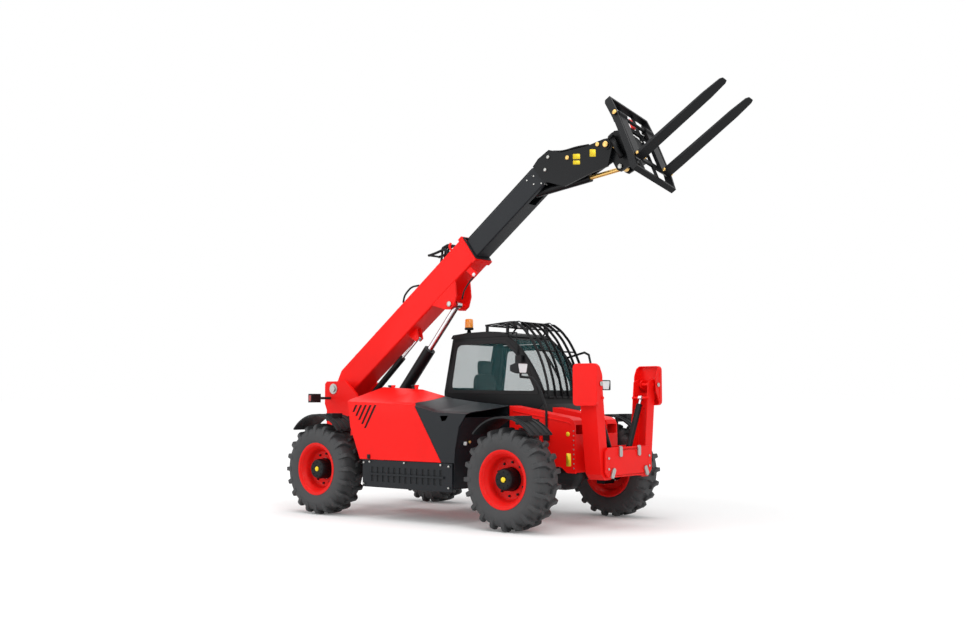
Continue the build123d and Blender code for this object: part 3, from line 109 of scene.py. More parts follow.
class Finish:
    # a material under construction, with one Principled shader
    def __init__(self, name, **constants):
        self.material = bpy.data.materials.new(name)
        self.material.use_nodes = True
        self.tree = self.material.node_tree
        self.shader = self.tree.nodes["Principled BSDF"]
        for socket, value in constants.items():
            self.shader.inputs[socket.replace("_", " ")].default_value = value
        self.coords = self.node("ShaderNodeTexCoord", out="Object")

    def node(self, kind, settings=None, sockets=None, out=0):
        made = self.tree.nodes.new(kind)
        for key, value in (settings or {}).items():
            if key == "stops":
                ramp = made.color_ramp
                while len(ramp.elements) < len(value):
                    ramp.elements.new(0.5)
                for element, (place, colour) in zip(ramp.elements, value):
                    element.position, element.color = place, (*colour, 1)
            else:
                setattr(made, key, value)
        for key, value in (sockets or {}).items():
            if isinstance(value, Wire):
                self.tree.links.new(value.socket, made.inputs[key])
            else:
                made.inputs[key].default_value = value
        return Wire(self.tree, made.outputs[out])

    def feed(self, socket, wire):
        self.tree.links.new(wire.socket, self.shader.inputs[socket])

    def noise(self, scale, detail=3.0, roughness=0.55):
        sockets = {"Vector": self.coords, "Scale": scale, "Detail": detail, "Roughness": roughness}
        return self.node("ShaderNodeTexNoise", None, sockets, "Fac")

    def axis(self, name):
        return self.node("ShaderNodeSeparateXYZ", None, {"Vector": self.coords}, name)

    def mix(self, mask, first, second):
        def colour(value):
            return value if isinstance(value, Wire) else (*value, 1)
        return self.node("ShaderNodeMix", {"data_type": "RGBA"},
                         {0: mask, 6: colour(first), 7: colour(second)}, 2)

    def bump(self, height, strength, distance):
        sockets = {"Height": height, "Strength": strength, "Distance": distance}
        self.feed("Normal", self.node("ShaderNodeBump", None, sockets, "Normal"))


def paint(name, colour, dusty, roughness, coat=0.0, peel=0.08, grime=0.35, gloss=0.3, metal=0.0):
    # colour with slow cloudy variation, dust towards the ground, short scuffs and fine orange peel
    finish = Finish(name, Roughness=roughness, Coat_Weight=coat, Coat_Roughness=0.08, Metallic=metal)
    finish.shader.inputs["Specular IOR Level"].default_value = gloss
    cloud = finish.noise(2.3)
    specks = finish.noise(38, 6, 0.7)
    low = 1 - finish.axis("Z").step(0.25, 1.25)
    dirt = (low * 0.6 + 0.16) * specks.step(0.46, 0.74) * grime
    scuff = finish.noise(9, 8, 0.8).step(0.66, 0.72) * finish.noise(1.1).step(0.5, 0.62) * grime
    tone = finish.mix(cloud.step(0.3, 0.7) * 0.3, colour, [c * 0.82 for c in colour])
    worn = finish.mix(scuff * 0.5, tone, [min(1, c * 1.1 + 0.05) for c in colour])
    finish.feed("Base Color", finish.mix(dirt, worn, dusty))
    finish.feed("Roughness", roughness + dirt * 0.45 + cloud * 0.06 + scuff * 0.1)
    finish.bump(finish.noise(420, 2), peel, 0.0006)
    return finish.material


paints = {
    "red": (0.90, 0.008, 0.006), "rimRed": (0.80, 0.009, 0.007), "charcoal": (0.012, 0.014, 0.017),
    "black": (0.0045, 0.005, 0.006), "dust": (0.16, 0.14, 0.12), "brass": (0.78, 0.50, 0.16),
    "yellow": (0.95, 0.70, 0.02), "rubber": (0.030, 0.031, 0.033), "amber": (0.95, 0.30, 0.01),
}
redPaint = paint("redPaint", paints["red"], (0.42, 0.06, 0.045), 0.38, 0.04, 0.05, 0.2, 0.12)
rimPaint = paint("rimPaint", paints["rimRed"], (0.30, 0.09, 0.07), 0.42, 0.04, 0.05, 0.35, 0.12)
charcoalPaint = paint("charcoalPaint", paints["charcoal"], (0.045, 0.044, 0.043), 0.34, 0.0, 0.06, 0.2, 0.16)
blackPaint = paint("blackPaint", paints["black"], (0.035, 0.033, 0.031), 0.36, 0.0, 0.1, 0.3, 0.16)
zinc = paint("zinc", (0.42, 0.42, 0.40), paints["dust"], 0.36, 0, 0.05, 0.2, 0.5, 0.9)
brass = paint("brass", paints["brass"], (0.2, 0.14, 0.08), 0.34, 0, 0.08, 0.4, 0.5, 0.8)
yellowSticker = paint("yellowSticker", paints["yellow"], paints["dust"], 0.45, 0.1, 0.03, 0.15, 0.3)
whiteFitting = paint("whiteFitting", (0.75, 0.76, 0.76), paints["dust"], 0.4, 0.1, 0.04, 0.2, 0.4)


def plasticMaterial(name, colour, grain):
    # moulded plastic: fine leather-like grain and a slightly worn sheen
    finish = Finish(name, Roughness=0.55)
    finish.shader.inputs["Specular IOR Level"].default_value = 0.2
    wear = finish.noise(3.1).step(0.35, 0.75)
    finish.feed("Base Color", finish.mix(wear * 0.5, colour, [c * 1.4 + 0.004 for c in colour]))
    finish.feed("Roughness", 0.5 + wear * 0.14)
    cells = finish.node("ShaderNodeTexVoronoi", {"feature": "DISTANCE_TO_EDGE"},
                        {"Vector": finish.coords, "Scale": grain}, "Distance")
    finish.bump(cells.step(0.0, 0.25), 0.25, 0.0008)
    return finish.material


blackPlastic = plasticMaterial("blackPlastic", (0.009, 0.010, 0.011), 260)
greyPlastic = plasticMaterial("greyPlastic", (0.035, 0.038, 0.042), 240)


def rubberMaterial():
    # dark compound, dust caught in patches, small pores
    finish = Finish("tyreRubber", Roughness=0.72)
    patch, fine = finish.noise(5.5, 5), finish.noise(90, 4, 0.7)
    dust = patch.step(0.45, 0.75) * fine.step(0.35, 0.7)
    finish.feed("Base Color", finish.mix(dust * 0.35, paints["rubber"], (0.13, 0.125, 0.12)))
    finish.feed("Roughness", 0.62 + dust * 0.25)
    finish.bump(fine, 0.25, 0.002)
    return finish.material


tyreRubber = rubberMaterial()
sealRubber = plasticMaterial("sealRubber", (0.012, 0.012, 0.013), 400)


def chromeMaterial():
    # hard chrome with faint lengthwise polish marks
    finish = Finish("chrome", Metallic=1.0, Roughness=0.2)
    streak = finish.noise(60, 3)
    finish.feed("Base Color", finish.mix(streak * 0.25, (0.60, 0.61, 0.63), (0.42, 0.43, 0.45)))
    finish.feed("Roughness", 0.18 + streak * 0.12)
    return finish.material


chrome = chromeMaterial()


def glassMaterial():
    # tinted safety glass, a little dusty
    finish = Finish("tintedGlass", Roughness=0.04)
    finish.shader.inputs["Specular IOR Level"].default_value = 0.12
    film = finish.noise(2.0, 5).step(0.4, 0.8)
    finish.feed("Base Color", finish.mix(film * 0.3, (0.03, 0.13, 0.135), (0.06, 0.15, 0.15)))
    finish.feed("Alpha", 0.20 + film * 0.03)
    finish.feed("Roughness", 0.03 + film * 0.05)
    return finish.material


tintedGlass = glassMaterial()


def lensMaterial(name, colour, glow):
    # ribbed lamp lens: vertical prisms, with a faint painted glow although no lamp is lit
    finish = Finish(name, Roughness=0.12, Coat_Weight=0.8, Emission_Strength=glow)
    finish.shader.inputs["Emission Color"].default_value = (*colour, 1)
    ribs = finish.node("ShaderNodeTexWave", {"bands_direction": "Z"},
                       {"Vector": finish.coords, "Scale": 60.0, "Distortion": 0.0}, "Fac")
    cells = finish.noise(30)
    finish.feed("Base Color", finish.mix(cells * 0.3 + ribs * 0.15, colour, [c * 0.6 for c in colour]))
    finish.bump(ribs, 0.3, 0.002)
    return finish.material


# lens finishes, each with a faint painted glow of its own colour
clearLens = lensMaterial("clearLens", (0.80, 0.82, 0.84), 0.08)
amberLens = lensMaterial("amberLens", paints["amber"], 0.12)
redLens = lensMaterial("redLens", (0.45, 0.01, 0.01), 0.02)


def fabricMaterial():
    # woven seat cloth: two crossed waves and lint
    finish = Finish("seatCloth", Roughness=0.9, Sheen_Weight=0.3)
    across = finish.node("ShaderNodeTexWave", {"bands_direction": "Y"},
                         {"Vector": finish.coords, "Scale": 120.0}, "Fac")
    along = finish.node("ShaderNodeTexWave", {"bands_direction": "DIAGONAL"},
                        {"Vector": finish.coords, "Scale": 120.0}, "Fac")
    weave = across * along
    lint = finish.noise(25, 5)
    thread = weave * 0.5 + lint * 0.3
    finish.feed("Base Color", finish.mix(thread, (0.018, 0.019, 0.021), (0.075, 0.077, 0.08)))
    finish.bump(weave, 0.5, 0.0012)
    return finish.material


seatCloth = fabricMaterial()
print("finishes made")

# world, floor and lights
studio = {"skyStrength": 0.60, "floorSize": 700, "glowNear": 0.10, "glowFar": 0.50, "floorColour": 0.80,
          "shownColour": 0.86}
world = bpy.data.worlds.new("studio")
world.use_nodes = True
scene.world = world
worldTree = world.node_tree
worldTree.nodes.clear()


def worldNode(kind, **values):
    made = worldTree.nodes.new(kind)
    for key, value in values.items():
        made.inputs[key].default_value = value
    return made


rays = worldNode("ShaderNodeLightPath")
seen, throughGlass = worldNode("ShaderNodeMath"), worldNode("ShaderNodeMath")
seen.operation = throughGlass.operation = "MAXIMUM"
softSky = worldNode("ShaderNodeBackground", Color=(1, 1, 1, 1), Strength=studio["skyStrength"])
whiteSky = worldNode("ShaderNodeBackground", Color=(1, 1, 1, 1), Strength=1.0)
skyMix = worldNode("ShaderNodeMixShader")
skyOut = worldNode("ShaderNodeOutputWorld")
for start, end in (
        (rays.outputs["Is Camera Ray"], seen.inputs[0]), (rays.outputs["Is Glossy Ray"], seen.inputs[1]),
        (seen.outputs[0], throughGlass.inputs[0]),
        (rays.outputs["Is Transmission Ray"], throughGlass.inputs[1]),
        (throughGlass.outputs[0], skyMix.inputs[0]), (softSky.outputs[0], skyMix.inputs[1]),
        (whiteSky.outputs[0], skyMix.inputs[2]), (skyMix.outputs[0], skyOut.inputs[0])):
    worldTree.links.new(start, end)

floorMesh = bpy.data.meshes.new("floor")
half = studio["floorSize"]
floorCorners = [(-half, -half, 0), (half, -half, 0), (half, half, 0), (-half, half, 0)]
floorMesh.from_pydata(floorCorners, [], [(0, 1, 2, 3)])
floorObject = bpy.data.objects.new("floor", floorMesh)
scene.collection.objects.link(floorObject)
floorFinish = Finish("floor", Roughness=0.9)
floorFinish.shader.inputs["Base Color"].default_value = (*[studio["floorColour"]] * 3, 1)
floorFinish.shader.inputs["Specular IOR Level"].default_value = 0
floorTree = floorFinish.tree
glow = floorTree.nodes.new("ShaderNodeEmission")
# grey glow that grows with distance from the machine, where the lamps no longer reach
distance = floorFinish.node("ShaderNodeVectorMath", {"operation": "LENGTH"}, {0: floorFinish.coords}, "Value")
glowTone = floorFinish.mix(distance.step(2.8, 8.5), [studio["glowNear"]] * 3, [studio["glowFar"]] * 3)
floorTree.links.new(glowTone.socket, glow.inputs["Color"])
shown = floorTree.nodes.new("ShaderNodeBsdfDiffuse")
shown.inputs["Color"].default_value = (*[studio["shownColour"]] * 3, 1)
both = floorTree.nodes.new("ShaderNodeAddShader")
pick = floorTree.nodes.new("ShaderNodeMixShader")
floorRays = floorTree.nodes.new("ShaderNodeLightPath")
floorTree.links.new(shown.outputs[0], both.inputs[0])
floorTree.links.new(glow.outputs[0], both.inputs[1])
floorSeen = Wire(floorTree, floorRays.outputs["Is Camera Ray"]).calculate(
    "MAXIMUM", Wire(floorTree, floorRays.outputs["Is Glossy Ray"])).calculate(
    "MAXIMUM", Wire(floorTree, floorRays.outputs["Is Transmission Ray"]))
floorTree.links.new(floorSeen.socket, pick.inputs[0])
floorTree.links.new(floorFinish.shader.outputs[0], pick.inputs[1])
floorTree.links.new(both.outputs[0], pick.inputs[2])
floorTree.links.new(pick.outputs[0], floorTree.nodes["Material Output"].inputs[0])
floorMesh.materials.append(floorFinish.material)

lights = {
    "overhead": {"place": (0, -2, 12), "aim": (0, 0, 0), "size": 12, "power": 800},
    "key": {"place": (12, -9, 9), "aim": (0, 0, 1.5), "size": 7, "power": 850},
    "fill": {"place": (-8, -12, 5), "aim": (0, 0, 1.2), "size": 8, "power": 420},
}
for name, light in lights.items():
    lamp = bpy.data.lights.new(name, "AREA")
    lamp.size, lamp.energy = light["size"], light["power"]
    lampObject = bpy.data.objects.new(name, lamp)
    lampObject.location = light["place"]
    aim = np.array(light["aim"], float) - np.array(light["place"], float)
    aim = aim / np.linalg.norm(aim)
    lampObject.rotation_euler = (math.acos(-aim[2]), 0, math.atan2(aim[1], aim[0]) - math.pi / 2)
    scene.collection.objects.link(lampObject)
print("stage set")


def softenTree():
    # joins the loose triangles, shades faces smooth and keeps edges over the angle sharp
    group = bpy.data.node_groups.new("soften", "GeometryNodeTree")
    group.interface.new_socket("Geometry", in_out="INPUT", socket_type="NodeSocketGeometry")
    group.interface.new_socket("Geometry", in_out="OUTPUT", socket_type="NodeSocketGeometry")
    made = group.nodes.new
    start, merge = made("NodeGroupInput"), made("GeometryNodeMergeByDistance")
    merge.inputs["Distance"].default_value = 0.00002
    angle, limit = made("GeometryNodeInputMeshEdgeAngle"), made("FunctionNodeCompare")
    limit.inputs[1].default_value = math.radians(28)
    smooth, sharp = made("GeometryNodeSetShadeSmooth"), made("GeometryNodeSetShadeSmooth")
    end = made("NodeGroupOutput")
    sharp.domain = "EDGE"
    sharp.inputs["Shade Smooth"].default_value = False
    link = group.links.new
    link(start.outputs[0], merge.inputs["Geometry"])
    link(merge.outputs[0], smooth.inputs["Geometry"])
    link(smooth.outputs[0], sharp.inputs["Geometry"])
    link(angle.outputs[0], limit.inputs[0])
    link(limit.outputs[0], sharp.inputs["Selection"])
    link(sharp.outputs[0], end.inputs[0])
    return group


soften = softenTree()


def addBevel(piece, width, angle=35):
    # a small rounded edge wherever faces meet at more than the angle
    bevel = piece.modifiers.new("edges", "BEVEL")
    bevel.width, bevel.segments, bevel.limit_method = width, 2, "ANGLE"
    bevel.angle_limit, bevel.harden_normals = math.radians(angle), True


def addSoften(piece, width=0.0):
    # smooth shading, then a small rounded edge
    piece.modifiers.new("soften", "NODES").node_group = soften
    if width:
        addBevel(piece, width)


corners = ("front_right", "front_left", "rear_right", "rear_left")
sides = ("right", "left")
finishes = {
    redPaint: ["chassis_frame", "cross_members", "nose", "boom_outer", "bonnet_rear", "stabiliser_beam",
               *[f"stab_{part}_{side}" for part in ("leg", "pad") for side in sides]],
    charcoalPaint: ["boom_inner", "bonnet_front", "side_panel", "engine_bay", "fuel_tank"],
    blackPaint: ["boom_head", "carriage", "fork_frame", "cab_shell", "cab_door", "axles", "forks", "engine",
                 "screen_guard", "lift_barrel", "level_barrel", "tilt_barrel",
                 *[f"knuckle_{corner}" for corner in corners], *[f"stab_barrel_{side}" for side in sides]],
    blackPlastic: ["controls", "cab_roof", "mirrors", "lamps", *[f"mudguard_{corner}" for corner in corners]],
    chrome: ["lift_rod", "level_rod", *[f"stab_rod_{side}" for side in sides]],
    brass: ["tilt_rod"],
    zinc: ["pins"],
    tintedGlass: ["cab_glass", "door_glass"],
}
# nodes whose pressed or cut edges get a small rounding, in metres
roundedEdges = {
    0.004: ["chassis_frame", "nose", "stabiliser_beam", "boom_head", "carriage", "fork_frame", "forks",
            "side_panel"],
    0.003: ["boom_outer", "boom_inner", "cross_members", "bonnet_rear", "bonnet_front", "cab_shell",
            "cab_door", *[f"stab_{part}_{side}" for part in ("leg", "pad") for side in sides]],
    0.002: ["axles", "controls", "lamps", "mirrors", "fuel_tank", "cab_roof"],
}
edgeOf = {name: width for width, names in roundedEdges.items() for name in names}
for material, names in finishes.items():
    for name in names:
        piece = nodes[name]
        for place in range(len(piece.data.materials)):
            piece.material_slots[place].material = material
        addSoften(piece, edgeOf.get(name, 0.0))
print("CAD nodes finished")


def addPiece(name, points, faces, material, body, smooth=True, edge=0.0):
    # a mesh object at the origin that rides on a body, its faces turned outwards
    mesh = bpy.data.meshes.new(name)
    mesh.from_pydata(np.asarray(points).reshape(-1, 3).tolist(), [],
                     faces.tolist() if isinstance(faces, np.ndarray) else faces)
    mesh.materials.append(material)
    shell = bmesh.new()
    shell.from_mesh(mesh)
    bmesh.ops.recalc_face_normals(shell, faces=shell.faces)
    shell.to_mesh(mesh)
    shell.free()
    mesh.polygons.foreach_set("use_smooth", [smooth] * len(mesh.polygons))
    mesh.update()
    piece = bpy.data.objects.new(name, mesh)
    scene.collection.objects.link(piece)
    if edge:
        addSoften(piece, edge)
    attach(piece, body)
    return piece


def gridFaces(rows, columns, start=0, closedRows=False, closedColumns=False):
    # quads of a rows x columns grid of points
    r = np.arange(rows if closedRows else rows - 1)
    c = np.arange(columns if closedColumns else columns - 1)
    r, c = np.meshgrid(r, c, indexing="ij")
    r1, c1 = (r + 1) % rows, (c + 1) % columns
    quads = np.stack([r * columns + c, r1 * columns + c, r1 * columns + c1, r * columns + c1], -1)
    return quads.reshape(-1, 4) + start


def spun(profile, centre, side, count):
    # profile of (outboard, radius) turned about a wheel's Y axis:
    # x = radius * sin(a), y = side * outboard, z = radius * cos(a)
    profile = np.asarray(profile, float)
    angle = np.linspace(0, 2 * math.pi, count, endpoint=False)
    out, radius = profile[:, 0][:, None], profile[:, 1][:, None]
    x = centre[0] + radius * np.sin(angle)
    y = centre[1] + side * out + 0 * angle
    z = centre[2] + radius * np.cos(angle)
    return np.stack([x, y, z], -1)


def roundedProfile(points, count=6, cut=0.3):
    # corners of an open profile cut by quadratic curves
    points = np.asarray(points, float)
    shape = [points[:1]]
    t = np.linspace(0, 1, count)[:, None]
    for before, here, after in zip(points, points[1:], points[2:]):
        a, b = here + (before - here) * cut, here + (after - here) * cut
        shape.append((1 - t) ** 2 * a + 2 * t * (1 - t) * here + t**2 * b)
    shape.append(points[-1:])
    return np.vstack(shape)


wheelPlaces = {corner: [float(low + high) / 2 for low, high in zip(*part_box(f"tyre_{corner}"))][:2]
               for corner in corners}
tyre = {"radius": 0.585, "lugs": 20, "lugDraft": 0.010, "bead": 0.303, "around": 132, "edge": 0.005,
        "edgeAngle": 40}


def tyrePoints(centre, side):
    # carcass: rounded profile from bead to bead
    r = tyre["radius"]
    half = [(0.0, r - 0.038), (0.10, r - 0.042), (0.168, r - 0.060), (0.193, r - 0.105), (0.199, 0.430),
            (0.186, 0.365), (0.171, 0.340), (0.172, tyre["bead"])]
    outer = roundedProfile(half, 5, 0.4)
    profile = np.vstack([outer[::-1], outer[1:] * [-1, 1]])
    points = [spun(profile, centre, side, tyre["around"]).reshape(-1, 3)]
    faces = [gridFaces(len(profile), tyre["around"], 0, True, True)]
    # lugs: a loft of stations outward from the middle of the tread
    # a station: outboard, low and high edge round the tread, top radius, foot radius
    stations = np.array([
        (0.006, 0.008, 0.052, r - 0.002, r - 0.05), (0.045, -0.012, 0.030, r - 0.001, r - 0.05),
        (0.080, -0.030, 0.012, r - 0.002, r - 0.05), (0.106, -0.043, 0.004, r - 0.003, r - 0.052),
        (0.140, -0.044, 0.005, r - 0.006, r - 0.056), (0.168, -0.044, 0.006, r - 0.014, r - 0.070),
        (0.188, -0.043, 0.006, r - 0.040, r - 0.100), (0.1985, -0.042, 0.005, r - 0.092, r - 0.120),
        (0.1995, -0.038, 0.001, r - 0.125, r - 0.135),
    ])
    pitch = 2 * math.pi / tyre["lugs"]
    out, low, high, top, foot = stations.T
    roundTread = np.stack([low - tyre["lugDraft"], low, high, high + tyre["lugDraft"]], -1)[None] / r
    radius = np.stack([foot, top, top, foot], -1)[None]
    size = len(stations) * 4
    lug = np.vstack([gridFaces(len(stations), 4), [[0, 1, 2, 3], [size - 1, size - 2, size - 3, size - 4]]])
    count = len(points[0])
    for hand in (1, -1):
        turns = np.arange(tyre["lugs"]) * pitch + (0 if hand > 0 else pitch / 2)
        angle = roundTread + turns[:, None, None]
        x, z = centre[0] + radius * np.sin(angle), centre[2] + radius * np.cos(angle)
        y = np.broadcast_to(centre[1] + side * hand * out[None, :, None], x.shape)
        points.append(np.stack([x, y, z], -1).reshape(-1, 3))
        for turn in range(tyre["lugs"]):
            quads = lug + count + turn * size
            faces.append(quads if hand * side > 0 else quads[:, ::-1])
        count += tyre["lugs"] * size
    return np.vstack(points), np.vstack(faces)


for corner, (x, y) in wheelPlaces.items():
    side = 1 if y > 0 else -1
    points, faces = tyrePoints((x, y, tyre["radius"]), side)
    piece = addPiece(f"tread_{corner}", points, faces, tyreRubber, f"wheel_{corner}")
    addBevel(piece, tyre["edge"], tyre["edgeAngle"])
    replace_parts(piece, f"tyre_{corner}")
print("tyres made")

rim = {"bolts": 10, "boltCircle": 0.192, "hubBolts": 8, "hubBoltCircle": 0.088, "hubRadius": 0.128,
       "hubFace": 0.158, "capRadius": 0.030, "around": 96, "hubAround": 64}


def axes(axis):
    # the axis made one unit long, and two unit vectors square to it and to each other
    axis = np.asarray(axis, float) / np.linalg.norm(axis)
    aside = np.cross(axis, (0.0, 0.0, 1.0) if abs(axis[2]) < 0.9 else (1.0, 0.0, 0.0))
    aside = aside / np.linalg.norm(aside)
    return axis, aside, np.cross(axis, aside)


def hexHeads(places, axis, radius, height):
    # hexagonal heads with a small top chamfer: rings of six points along the axis
    axis, aside, above = axes(axis)
    angle = np.arange(6) * math.pi / 3
    ring = np.cos(angle)[:, None] * aside + np.sin(angle)[:, None] * above
    rings = np.stack([ring * radius, ring * radius + axis * height * 0.8,
                      ring * radius * 0.86 + axis * height])
    places = np.asarray(places, float).reshape(-1, 3)
    points = places[:, None, None, :] + rings[None]
    walls = gridFaces(3, 6, 0, False, True)
    faces = []
    for index in range(len(places)):
        faces += (walls + index * 18).tolist()
        faces.append([index * 18 + 12 + k for k in range(6)])
    return points.reshape(-1, 3), faces


def roundCap(centre, axis, profile, count=32):
    # a small turned form: profile of (along, radius) about an axis
    axis, aside, above = axes(axis)
    along, radius = np.asarray(profile, float).T[:, :, None, None]
    angle = np.linspace(0, 2 * math.pi, count, endpoint=False)
    ring = np.cos(angle)[:, None] * aside + np.sin(angle)[:, None] * above
    points = np.asarray(centre) + along * axis + radius * ring[None]
    faces = gridFaces(len(profile), count, 0, False, True).tolist()
    faces += [list(range((len(profile) - 1) * count, len(profile) * count)), list(range(count))[::-1]]
    return points.reshape(-1, 3), faces


def boltRing(centre, y, count, radius, start=0.0):
    # places of bolts on a circle round a wheel's axis
    turn = np.arange(count) * 2 * math.pi / count + start
    x, z = centre[0] + radius * np.cos(turn), centre[2] + radius * np.sin(turn)
    return np.stack([x, np.full_like(turn, y), z], -1)


for corner, (x, y) in wheelPlaces.items():
    side, body = (1 if y > 0 else -1), f"wheel_{corner}"
    centre = (x, y, tyre["radius"])
    dish = roundedProfile([
        (-0.174, 0.3005), (-0.1745, 0.334), (-0.170, 0.338), (-0.166, 0.296), (-0.118, 0.252),
        (-0.016, 0.244), (-0.014, 0.134), (0.005, 0.134), (0.005, 0.222), (0.030, 0.246), (0.100, 0.254),
        (0.140, 0.280),
        (0.164, 0.292), (0.170, 0.334), (0.176, 0.338), (0.1745, 0.3005)], 4, 0.28)
    dish = np.vstack([dish, [(0.10, 0.298), (0.09, 0.262), (-0.11, 0.262), (-0.13, 0.298)]])
    points = spun(dish, centre, side, rim["around"])
    faces = gridFaces(len(dish), rim["around"], 0, True, True)
    piece = addPiece(f"dish_{corner}", points, faces if side < 0 else faces[:, ::-1], rimPaint, body)
    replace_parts(piece, f"rim_{corner}")
    r = rim["hubRadius"]
    hub = roundedProfile([(-0.050, 0.071), (-0.050, 0.105), (-0.02, r + 0.005), (0.020, r + 0.005),
                          (0.022, r), (0.120, r), (0.128, r - 0.004), (0.150, r - 0.010),
                          (rim["hubFace"], r - 0.022),
                          (rim["hubFace"], 0.045), (0.150, 0.038), (0.150, 0.001)], 4, 0.25)
    points = spun(hub, centre, side, rim["hubAround"])
    faces = gridFaces(len(hub), rim["hubAround"], 0, False, True)
    addPiece(f"hub_{corner}", points, faces if side < 0 else faces[:, ::-1], blackPaint, body)
    axis = (0, side, 0)
    cap = roundCap((x, y + side * 0.148, tyre["radius"]), axis,
                   [(0, rim["capRadius"]), (0.012, rim["capRadius"]), (0.017, rim["capRadius"] - 0.005),
                    (0.018, 0.004)], 32)
    addPiece(f"cap_{corner}", *cap, yellowSticker, body)
    places = boltRing(centre, y + side * 0.004, rim["bolts"], rim["boltCircle"], 0.2)
    addPiece(f"wheelNuts_{corner}", *hexHeads(places, axis, 0.0145, 0.022), blackPaint, body, False)
    places = boltRing(centre, y + side * rim["hubFace"], rim["hubBolts"], rim["hubBoltCircle"])
    addPiece(f"hubBolts_{corner}", *hexHeads(places, axis, 0.0085, 0.008), blackPaint, body, False)
print("rims made")


# the machine's own stations, in metres
machine = {"midX": -0.786, "boomAngle": 37, "boomPivot": (-2.966, -0.04, 1.63), "outerHalf": 0.16,
           "innerHalf": 0.13, "headHalf": 0.155, "innerEnd": 4.34, "carriagePin": (5.28, -0.41),
           "panelFace": -1.216}
midX = machine["midX"]
boomTurn = math.radians(machine["boomAngle"])
boomAlong = np.array([math.cos(boomTurn), 0, math.sin(boomTurn)])
boomAcross = np.array([-math.sin(boomTurn), 0, math.cos(boomTurn)])
right, up, ahead = np.array([0, -1.0, 0]), np.array([0, 0, 1.0]), np.array([1.0, 0, 0])
# planes as (across, upward): a prism's depth runs ahead from front and to the right from flank
front, flank = ((0, 1, 0), (0, 0, 1)), ((1, 0, 0), (0, 0, 1))
hands = ((-1, "right"), (1, "left"))


def at(x, y, z):
    # a point whose x is counted from the middle of the wheelbase
    return np.array([midX + x, y, z])


def onBoom(along, across, y):
    # a point of the boom's own length and height, at a y of the machine
    return np.array(machine["boomPivot"]) * [1, 0, 1] + along * boomAlong + across * boomAcross + [0, y, 0]


def boomPath(y, *places):
    # points (along, across) of the boom, all at one y
    return [onBoom(along, across, y) for along, across in places]


def joined(shapes):
    # several (points, faces) as one
    points, faces, start = [], [], 0
    for shapePoints, shapeFaces in shapes:
        shapePoints = np.asarray(shapePoints, float).reshape(-1, 3)
        points.append(shapePoints)
        faces += [[int(v) + start for v in face] for face in shapeFaces]
        start += len(shapePoints)
    return np.vstack(points), faces


def dress(name, shapes, material, body="chassis", edge=0.0, smooth=True):
    # one piece of several shapes
    return addPiece(name, *joined(shapes), material, body, smooth, edge)


def prism(outline, origin, across, upward, depth):
    # an outline of (u, v) laid on a plane, carried by depth along u x v
    outline, across, upward = (np.asarray(value, float) for value in (outline, across, upward))
    flat = np.asarray(origin, float) + outline[:, :1] * across + outline[:, 1:] * upward
    n = len(outline)
    faces = gridFaces(2, n, 0, False, True).tolist() + [list(range(n))[::-1], list(range(n, 2 * n))]
    return np.vstack([flat, flat + np.cross(across, upward) * depth]), faces


def oblong(u, v):
    # a rectangle's corners between pairs of u and v
    return [(u[0], v[0]), (u[1], v[0]), (u[1], v[1]), (u[0], v[1])]


def boxed(x, y, z, base=midX):
    # a box between pairs of x, y and z, its x counted from a base
    return prism(oblong((base + x[0], base + x[1]), y), (0, 0, z[0]), (1, 0, 0), (0, 1, 0), z[1] - z[0])


def rounded(outline, radius, count=5):
    # a closed outline whose corners are quadratic curves that start a radius before each corner
    outline = np.asarray(outline, float)
    before, after = np.roll(outline, 1, 0) - outline, np.roll(outline, -1, 0) - outline
    a, b = (outline + side / np.linalg.norm(side, axis=1)[:, None]
            * np.minimum(radius, np.linalg.norm(side, axis=1) * 0.48)[:, None] for side in (before, after))
    t = np.linspace(0, 1, count)[None, :, None]
    curve = (1 - t) ** 2 * a[:, None] + 2 * t * (1 - t) * outline[:, None] + t**2 * b[:, None]
    return curve.reshape(-1, outline.shape[1])


def inset(outline, distance):
    # a closed outline with every side moved in by a distance: meeting points of the moved neighbours
    outline = np.asarray(outline, float)
    sides = np.roll(outline, -1, 0) - outline
    sides = sides / np.linalg.norm(sides, axis=1)[:, None]
    area = np.sum(outline[:, 0] * np.roll(outline[:, 1], -1) - outline[:, 1] * np.roll(outline[:, 0], -1))
    normals = np.stack([-sides[:, 1], sides[:, 0]], -1) * math.copysign(1, area)
    both = normals + np.roll(normals, 1, 0)
    return outline + distance * 2 * both / np.sum(both**2, 1)[:, None]


def ringPlate(outer, inner, origin, across, upward, depth):
    # a flat frame between two closed outlines with equal counts of points
    outer, inner, across, upward = (np.asarray(value, float) for value in (outer, inner, across, upward))
    lift = np.cross(across, upward) * depth
    origin = np.asarray(origin, float)
    loops = [origin + loop[:, :1] * across + loop[:, 1:] * upward for loop in (outer, inner)]
    points = np.stack([loops[0], loops[0] + lift, loops[1] + lift, loops[1]])
    return points.reshape(-1, 3), gridFaces(4, len(outer), 0, True, True).tolist()


def capped(rings):
    # rings of points carried along a path, closed at both ends
    rows, count = rings.shape[:2]
    faces = gridFaces(rows, count, 0, False, True).tolist()
    faces += [list(range(count)), list(range((rows - 1) * count, rows * count))[::-1]]
    return rings.reshape(-1, 3), faces


def tube(path, radius, sides=10, cut=0.35):
    # a circle carried along a path with rounded corners: centre + radius (cos a * aside + sin a * above)
    path = np.asarray(path, float)
    path = roundedProfile(path, 5, cut) if len(path) > 2 else path
    run = np.gradient(path, axis=0)
    run = run / np.linalg.norm(run, axis=1)[:, None]
    aside = np.cross(run, np.eye(3)[np.argmin(np.abs(run).max(0))])
    aside = aside / np.linalg.norm(aside, axis=1)[:, None]
    above = np.cross(run, aside)
    angle = np.linspace(0, 2 * math.pi, sides, endpoint=False)[None, :, None]
    return capped(path[:, None] + radius * (np.cos(angle) * aside[:, None] + np.sin(angle) * above[:, None]))


